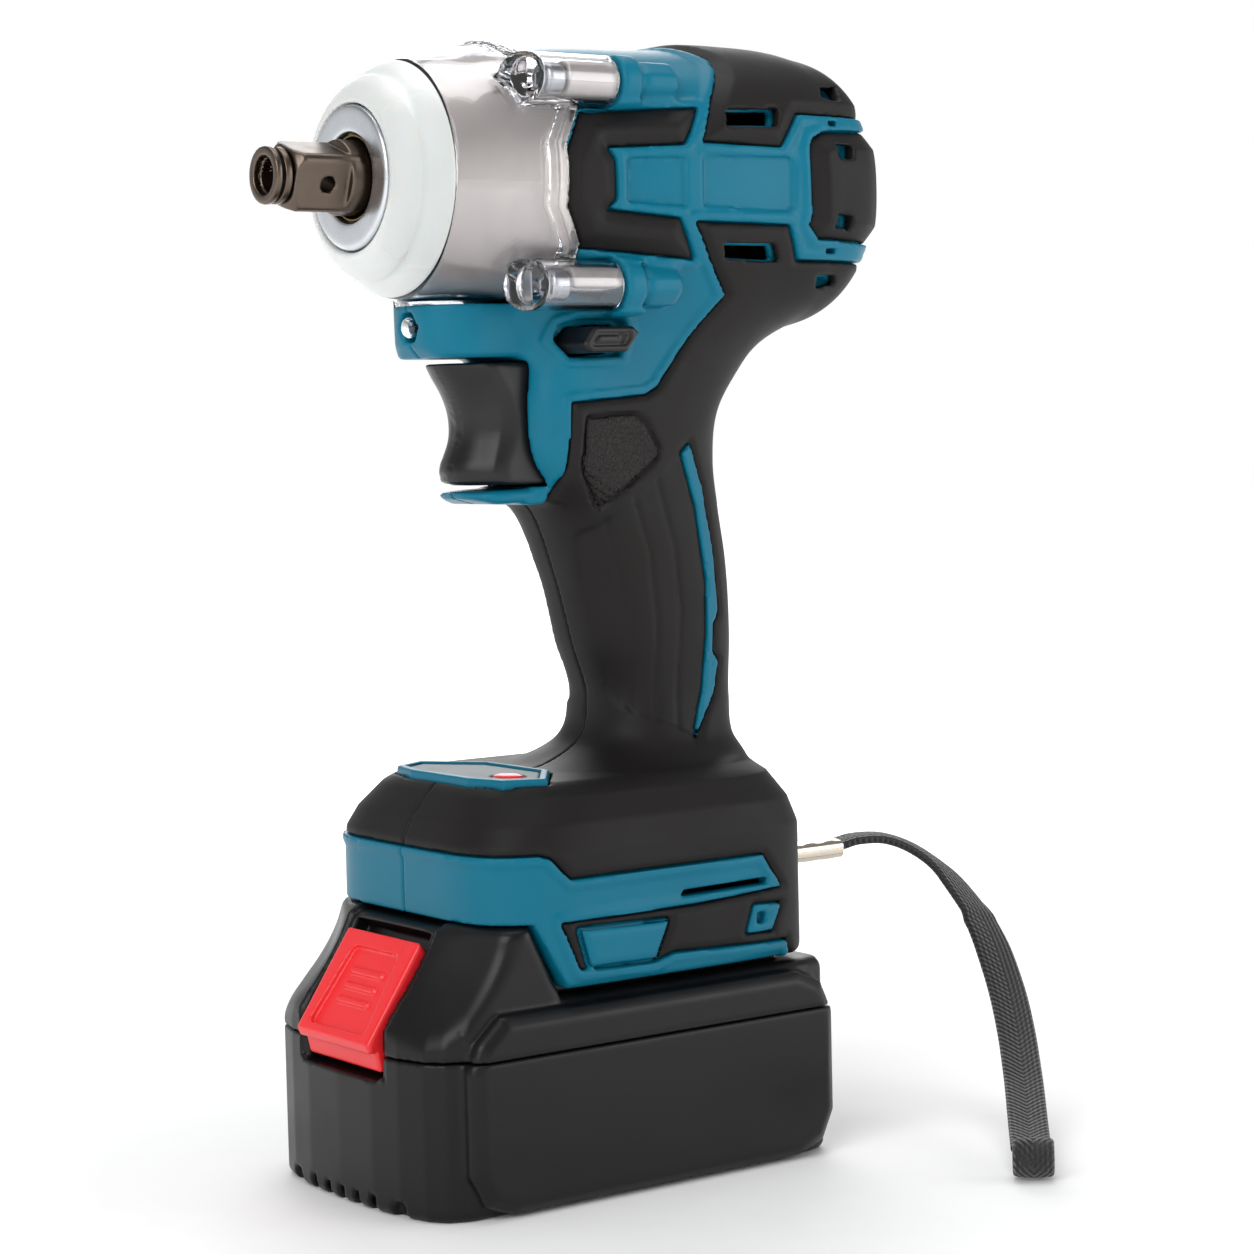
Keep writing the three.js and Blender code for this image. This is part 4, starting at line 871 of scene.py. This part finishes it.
BUMPER = [[-44.8, 16], [-44.8, 17.4], [-42.6, 20.3], [-40.4, 22], [-39.3, 22.2], [-37.2, 24],
          [-34.6, 25.5], [-33.9, 25.4], [-33.9, 23.9], [-35.2, 23.3], [-38.7, 21.1], [-41.3, 18],
          [-42.6, 15.8]]
new_piece("frosted_bumper", *turned(round_profile(BUMPER)), frosted_rubber, "tool",
          "bumper_rubber", ["front_bumper"], sharp=70)
new_piece("zinc_nose_disc", *turned(round_profile([
    [-44.8, 9.7], [-45.2, 10.2], [-45.2, 14.9], [-44.6, 15.6], [-42.9, 15.6], [-42.9, 9.7]])),
    zinc_steel, "tool",
    "zinc", ["nose_washer"])
new_piece("bronze_anvil_bush", *turned(round_profile([
    [-44, 8.6], [-44, 9.4], [-26, 9.4], [-26, 8.6]])), bronze, "tool", "bronze", ["anvil_bush"])

# %% Square drive
anvil_grid = make_grid((-65.9, -21, 200), (-14.2, 21, 242), STEP * 0.62)
ax, ay, az = anvil_grid
HALF_SQUARE = 6.35
turned_by = math.radians(20)
across_y = ay * math.cos(turned_by) + (az - AXIS_Z) * math.sin(turned_by)
across_z = (az - AXIS_Z) * math.cos(turned_by) - ay * math.sin(turned_by)
square = meet(np.abs(across_y) - HALF_SQUARE, np.abs(across_z) - HALF_SQUARE, 0.6)
square = meet(square, rod_x(anvil_grid, 8.25), 0.3)
square = meet(square, (rod_x(anvil_grid, 6.4) - (ax + 61.7) * 1.1) * 0.67, 0.3)
square = np.maximum(square, slab(ax, -61.5, -46))
tip = meet(rod_x(anvil_grid, 6.15), slab(ax, -65.9, -64.2), 0.5)
neck = np.maximum(rod_x(anvil_grid, 4.1), slab(ax, -65, -60.5))
shank = meet(rod_x(anvil_grid, 8.1), slab(ax, -48.6, -21), 0.5)
collar = meet(rod_x(anvil_grid, 12.5), slab(ax, -20.9, -14.2), 0.6)
wings = meet(np.maximum(np.abs(az - AXIS_Z) - 5.5, rod_x(anvil_grid, 20.5)),
             slab(ax, -20.9, -14.2), 0.6)
shoulder = np.maximum(rod_x(anvil_grid, 6.05), slab(ax, -61.6, -60.4))
drive = any_of(square, tip, neck, shank, collar, wings, shoulder)
detent = np.hypot(ax + 53.5, across_z) - 1.75
drive = less(drive, detent, np.maximum(rod_x(anvil_grid, 4.2), ax + 64.4),
             np.maximum(rod_x(anvil_grid, 3.7), ax + 59.5),
             np.maximum(rod_x(anvil_grid, 3.6), -24 - ax))
net_piece("square_drive_anvil", drive, anvil_grid, gunmetal, "anvil", "tool_steel", ["anvil"])
# The friction ring sits in the neck's groove, over the rubber ring, and is open at the top.
GROOVE_X, RING_RADIUS = -62.75, 5.62
ring_turn = np.linspace(math.radians(14), math.radians(346), 60)[:, None]
split_path = with_closed_ends(np.hstack([
    np.full((60, 1), GROOVE_X), RING_RADIUS * np.sin(ring_turn),
    AXIS_Z + RING_RADIUS * np.cos(ring_turn)]))
ring_across = np.array([[1.0, 0, 0]]) * np.ones((len(split_path), 1))
ring_points, ring_faces = band_along(split_path, ring_across, 0.45, 0.85, 16)[:2]
new_piece("split_friction_ring", ring_points, ring_faces, gunmetal, "anvil", "tool_steel",
          ["friction_ring"])
ring_round = np.linspace(0, 2 * math.pi, 16, endpoint=False)
new_piece("rubber_o_ring", *turned(np.stack([
    GROOVE_X + 0.8 * np.cos(ring_round), 4.6 + 0.45 * np.sin(ring_round)], 1)), black_rubber,
    "anvil", "overmould", ["o_ring"])

# %% [markdown]
# ## Controls
# The trigger is a deep, concave acetal block with a ridge down each side; the direction lever is a
# bar that shows at both sides; a bezel, a printed film and a red button make the speed panel.

# %% Trigger and direction lever
TRIGGER_FRONT = np.array([[154.1, -18.6], [154.6, -20.6], [156.2, -21.9], [158.6, -21.9],
                          [161, -20.8], [164, -19.6], [167.5, -19.3], [171, -19.9],
                          [174.5, -21.4], [178, -23.6], [181, -25.3]]).T
TRIGGER_CHEEK = [[-18.5, 182], [-15.6, 177], [-14, 171], [-13.8, 166], [-15.6, 160],
                 [-16.4, 156.5], [-15, 153], [0, 152], [0, 183]]
trigger_grid = make_grid((-25.6, -11.3, 154), (-2.2, 11.3, 181.2), STEP * 0.7)
tx, ty, tz = trigger_grid
cheek = outline_distance(tx, tz, TRIGGER_CHEEK)
half_width = 11.1 - 0.9 * np.clip(cheek / 2.2, 0, 1) - 0.05 * np.maximum(cheek, 0) ** 1.4
behind = tx - eased(tz, *TRIGGER_FRONT)
# Seen from above, the front is half an ellipse, 10 mm deep.
half_width = half_width * np.sqrt(1 - (1 - np.clip(behind / 10, 0, 1)) ** 2)
trigger = meet(meet(-behind, tx + 2.4), np.abs(ty) - half_width, 1.2)
trigger = meet(trigger, slab(tz, 154.2, 181), 1.2)
net_piece("smooth_trigger", trigger, trigger_grid, black_acetal, "trigger", "control_plastic",
          ["trigger"])
lever_grid = make_grid((-4, -27.9, 182), (12.2, 27.9, 189), STEP * 0.62)
lx, ly, lz = lever_grid
end = outline_distance(lx, lz, LEVER_END)
lever = meet(end, np.abs(ly) - 27.6, 1.4)
lever = less(lever, np.maximum(np.maximum(np.abs(end + 1.7) - 0.35, 27.1 - np.abs(ly)),
                               lx - 9))
dot = np.hypot(lx - 6.6, lz - 185.6) - 0.9
lever = less(lever, np.maximum(dot, 26.9 - np.abs(ly)))
net_piece("direction_bar", lever, lever_grid, black_acetal, "direction_lever", "control_plastic",
          ["direction_lever"])

# %% Panel
BUTTON_X, BUTTON_Y, BUTTON_LONG, BUTTON_WIDE = -15.5, -11.5, 2.95, 4
panel_grid = make_grid((-26.4, -26.2, 86.8), (-4, 26.2, 91.2), STEP * 0.55)
px, py, pz = panel_grid
PANEL_RIM = [[-4.4, -9], [-4.4, 11.6], [-15, 26], [-23.6, 21.6], [-26.2, 11.6], [-26.2, -9]]
rim = outline_distance(px, np.abs(py), PANEL_RIM)
button_well = oval(px - BUTTON_X, py - BUTTON_Y, 3.5, 4.6, 2.2)
bezel = meet(rim, slab(pz, 87, 90.9), 0.9)
bezel = less(bezel, np.maximum(rim + 1.9, 89.2 - pz), button_well)
net_piece("panel_bezel_rim", bezel, panel_grid, teal_nylon, "tool", "housing_plastic",
          ["panel_bezel"])
film = less(meet(rim + 2.1, slab(pz, 89.3, 90.35), 0.4), button_well)
net_piece("panel_film", film, panel_grid, label_film, "tool", "panel_label", ["panel_label"])
# The button's rings: share of its full reach, and height.
button_rings = [[0.01, 87.4], [0.94, 87.4], [1, 87.7], [1, 90.2], [0.93, 90.5], [0.72, 90.75],
                [0.4, 90.85], [0.01, 90.88]]
reach, heights = np.array(button_rings).T
round_turn = np.linspace(0, 2 * math.pi, 48, endpoint=False)[None]
button_points = np.stack([BUTTON_X + BUTTON_LONG * reach[:, None] * np.cos(round_turn),
                          BUTTON_Y + BUTTON_WIDE * reach[:, None] * np.sin(round_turn),
                          heights[:, None] + 0 * round_turn], -1).reshape(-1, 3)
new_piece("panel_button_dome", button_points, grid_faces(len(reach), 48), red_plastic,
          "panel_button", "red_plastic", ["panel_button"])

# %% [markdown]
# ## Battery
# The pack is a deep tray with a seam at a third of its height above the middle, a raised plate on
# each side and a sloping shoulder at the front, where a red latch button sits in a framed recess.

# %% Battery shells
BATTERY_TOP, SEAM_Z, HALF_WIDTH, LATCH_HALF = 44.7, 34, 39, 15.6
BOW = [[-54.3, 0], [-53.9, 13], [-52.7, 22], [-50.6, 29], [-47.6, 32.8], [-42.6, 35]]
PLAN = BOW + [[49.3, 35], [54.3, 33.4], [56.3, 30], [56.3, 0]]
SIDE_PLATE = [[-44.4, 10], [-41, 3.4], [-34, 0.4], [44, 0.4], [51, 3.4], [54.2, 10], [54.2, 33],
              [51, 40], [44, 43.3], [-36, 43.3], [-42, 38], [-44.4, 32]]
PACK_SIDE = [[-60, 42], [-52.5, 42], [-40, 60], [-37, 61], [-26, 61], [-18, BATTERY_TOP],
             [70, BATTERY_TOP], [70, -5], [-60, -5]]
LATCH_BAY = [[-62, 28.6], [-48, 28.6], [-35.5, 56.5], [-50, 66]]
pack_grid = make_grid((-54.3, -39, 0), (56.3, 39, 61), STEP * 1.12)
bx, by, bz = pack_grid
plan = outline_distance(bx, np.abs(by), PLAN + [[56.3, -9], [-54.3, -9]])
plate_side = outline_distance(bx, bz, SIDE_PLATE)
plate = meet(plate_side, np.abs(by) - HALF_WIDTH + drop(plate_side, 2.6, 1.5), 1)
pack = meet(join(plan, plate, 0.8), -bz, 2.5)
# The front corners are swept back in a hollow curve above the seam.
corner_reach = 44.1 + 14.6 * (np.clip(61 - bz, 0, None) / 23) ** 1.7
pack = meet(pack, (0.482 * np.abs(by) - 0.876 * bx - corner_reach) * 0.82, 3)
pack = meet(pack, outline_distance(bx, bz, PACK_SIDE), 3)
rails = block(pack_grid, (-17.5, 45), (-29, 29), (40, 55), 1)
pack = any_of(pack, rails)
hollow_pack = any_of(block(pack_grid, (-44, 51), (-33.6, 33.6), (3, 40.5)),
                     block(pack_grid, (-51, -43), (-15.6, 15.6), (3, 24)))
bay_side = outline_distance(bx, bz, LATCH_BAY)
latch_bay = np.maximum(bay_side, np.abs(by) - LATCH_HALF)
latch_frame = meet(np.maximum(np.abs(by) - 17.4, slab(bz, 29.5, 63)), -pack - 1)
foot_notches = any_of(*(np.hypot(by - y, bz - 1.4) - 2.2 for y in (-21, 21)))
foot_slots = any_of(*(block(pack_grid, (-60, -51), (y - 1.1, y + 1.1), (-2, 3.2))
                      for y in (-12, -6, 0, 6, 12)))
foot_vents = np.maximum(any_of(foot_notches, foot_slots), bx + 50.5)
terminal_room = block(pack_grid, (2, 26), (-20, 20), (46, 60))
pack = less(pack, hollow_pack, latch_bay, latch_frame, foot_vents)
net_piece("battery_tray", meet(pack, bz - SEAM_Z, 0.3), pack_grid, battery_nylon, "battery",
          "battery_plastic", ["battery_lower_case"])
net_piece("battery_lid", less(meet(pack, SEAM_Z + GAP - bz, 0.3), terminal_room), pack_grid,
          battery_nylon, "battery", "battery_plastic", ["battery_upper_case"])

# %% Latch button
LATCH = [[-55.7, 36.4], [-54.9, 34.4], [-53.4, 34.6], [-52.4, 30.2], [-43.6, 30], [-43.6, 33.5],
         [-46.1, 33.5], [-38.2, 52], [-41.6, 57]]
latch_grid = make_grid((-55.7, -15, 30), (-38, 15, 57.2), STEP * 0.6)
qx, qy, qz = latch_grid
latch = meet(outline_distance(qx, qz, LATCH), np.abs(qy) - LATCH_HALF + 0.6, 1)
# Height up the sloping face from its foot, and depth behind it.
face = np.array([-41.6 + 55.6, 57 - 36])
face = face / np.linalg.norm(face)
rise = (qx + 55.6) * face[0] + (qz - 36) * face[1]
depth = (qx + 55.6) * face[1] - (qz - 36) * face[0]
dish = meet(meet(np.abs(qy) - 11.8 + 0.12 * rise, slab(rise, 2.2, 21.5), 2), depth - 1.1, 0.4)
latch = less(latch, dish)
for height in (9, 12.5, 16):
    rib = meet(np.abs(qy) - 6.2, slab(rise, height - 0.7, height + 0.7), 0.5)
    latch = join(latch, np.maximum(rib, slab(depth, 0.4, 1.6)), 0.4)
net_piece("red_latch_button", latch, latch_grid, red_plastic, "latch", "red_plastic",
          ["latch_button"])

# %% [markdown]
# ## Screws, lens and ferrule
# The four case screws show through the clear tubes. Seven more, with star sockets, hold the
# housing's halves together from the right side and are sunk in wells.

# %% Screws
def screw_field(along, radial, angle, head_r, head, shank_r, shank):
    """A pan head between two stations along the screw's axis, with a six-lobed socket, and a
    shank; radial is the distance from the axis and angle the direction round it."""
    cap = meet(radial - head_r, slab(along, *head), 1)
    socket = np.maximum(radial - 1.55 - 0.22 * np.cos(6 * angle), along - head[0] - 1.6)
    return any_of(less(cap, socket), np.maximum(radial - shank_r, slab(along, *shank)))


for number, (y, z) in enumerate([(-26, 241), (-26, 197), (26, 241), (26, 197)], 1):
    grid = make_grid((-12.7, y - 3.6, z - 3.6), (4.7, y + 3.6, z + 3.6), STEP * 0.5)
    radial = rod_x(grid, 0, y, z)
    turn_angle = np.arctan2(grid[1] - y, grid[2] - z)
    net_piece(f"star_case_screw_{number}",
              screw_field(grid[0], radial, turn_angle, 3.4, (-12.6, -8), 1.6, (-8.5, 4.6)),
              grid, bright_steel, "tool", "steel", [f"case_screw_{number}"])

# %% Housing screws
for number, (x, z) in enumerate(HOUSING_SCREWS, 1):
    column = form[np.abs(X.ravel() - x).argmin(), :, np.abs(Z.ravel() - z).argmin()]
    surface_y = float(Y.ravel()[np.argmax(column < 0)])
    grid = make_grid((x - 3, surface_y + 1.4, z - 3), (x + 3, surface_y + 8, z + 3), STEP * 0.5)
    radial = np.hypot(grid[0] - x, grid[2] - z)
    turn_angle = np.arctan2(grid[0] - x, grid[2] - z)
    field = screw_field(grid[1], radial, turn_angle, 2.8,
                        (surface_y + 1.5, surface_y + 3.1), 1.5, (surface_y + 3, surface_y + 7.9))
    net_piece(f"star_housing_screw_{number}", field, grid, bright_steel, "tool", "steel", (), True)

# %% Lens, ferrule and its lug
new_piece("led_lens_dome", *turned([
    [-32.2, 0.01], [-32.1, 0.9], [-31.7, 1.7], [-31, 2.4], [-30.4, 2.5], [-26, 2.5],
    [-26, 0.01]], 48, 0, 189), clear_cover, "tool", "clear_plastic", ["led_lens"])
FERRULE_Z = 63.1
ferrule_line = with_closed_ends(np.stack([np.linspace(67, 86, 24), 0 * np.arange(24),
                                          FERRULE_Z + 0 * np.arange(24)], 1))
ferrule_across = np.array([[0, 1.0, 0]]) * np.ones((len(ferrule_line), 1))
ferrule_points, ferrule_faces = band_along(ferrule_line, ferrule_across, 2.5, 4.9, 40)[:2]
# The crimp's dents are soft dips every 6 mm on the ferrule's two flat faces.
dents = 0.9 * np.exp(-(((ferrule_points[:, 0] - 76.5) % 6 - 3) / 0.9) ** 2)
flat_face = np.abs(ferrule_points[:, 1]) < 3.6
ferrule_points[:, 2] -= (np.sign(ferrule_points[:, 2] - FERRULE_Z)
                         * np.where(flat_face, 0.35 * dents, 0))
new_piece("nickel_ferrule", ferrule_points, ferrule_faces, nickel, "tool", "nickel",
          ["strap_ferrule"], sharp=50)

# %% [markdown]
# ## Inner pieces
# The gears, motor, cells and boards keep their CAD shapes, which are right, and get real finishes.

# %% Finishes for the CAD nodes
INNER = {"housing_plastic": teal_nylon, "overmould": black_rubber, "cast_aluminium": cast_aluminium,
         "clear_plastic": clear_cover, "bumper_rubber": frosted_rubber, "zinc": zinc_steel,
         "bronze": bronze, "tool_steel": gunmetal, "steel": bright_steel, "winding": copper,
         "control_plastic": black_acetal, "panel_label": label_film, "red_plastic": red_plastic,
         "circuit_board": solder_mask, "battery_plastic": battery_nylon,
         "cell_wrap": shrink_sleeve, "nickel": nickel, "webbing": webbing}
for part in frame["record"]["subparts"]:
    node = frame["nodes"][part["node"]]
    node.data.materials.clear()
    node.data.materials.append(INNER[part["material_slot"]])
print("finished", len(frame["nodes"]), "CAD nodes")
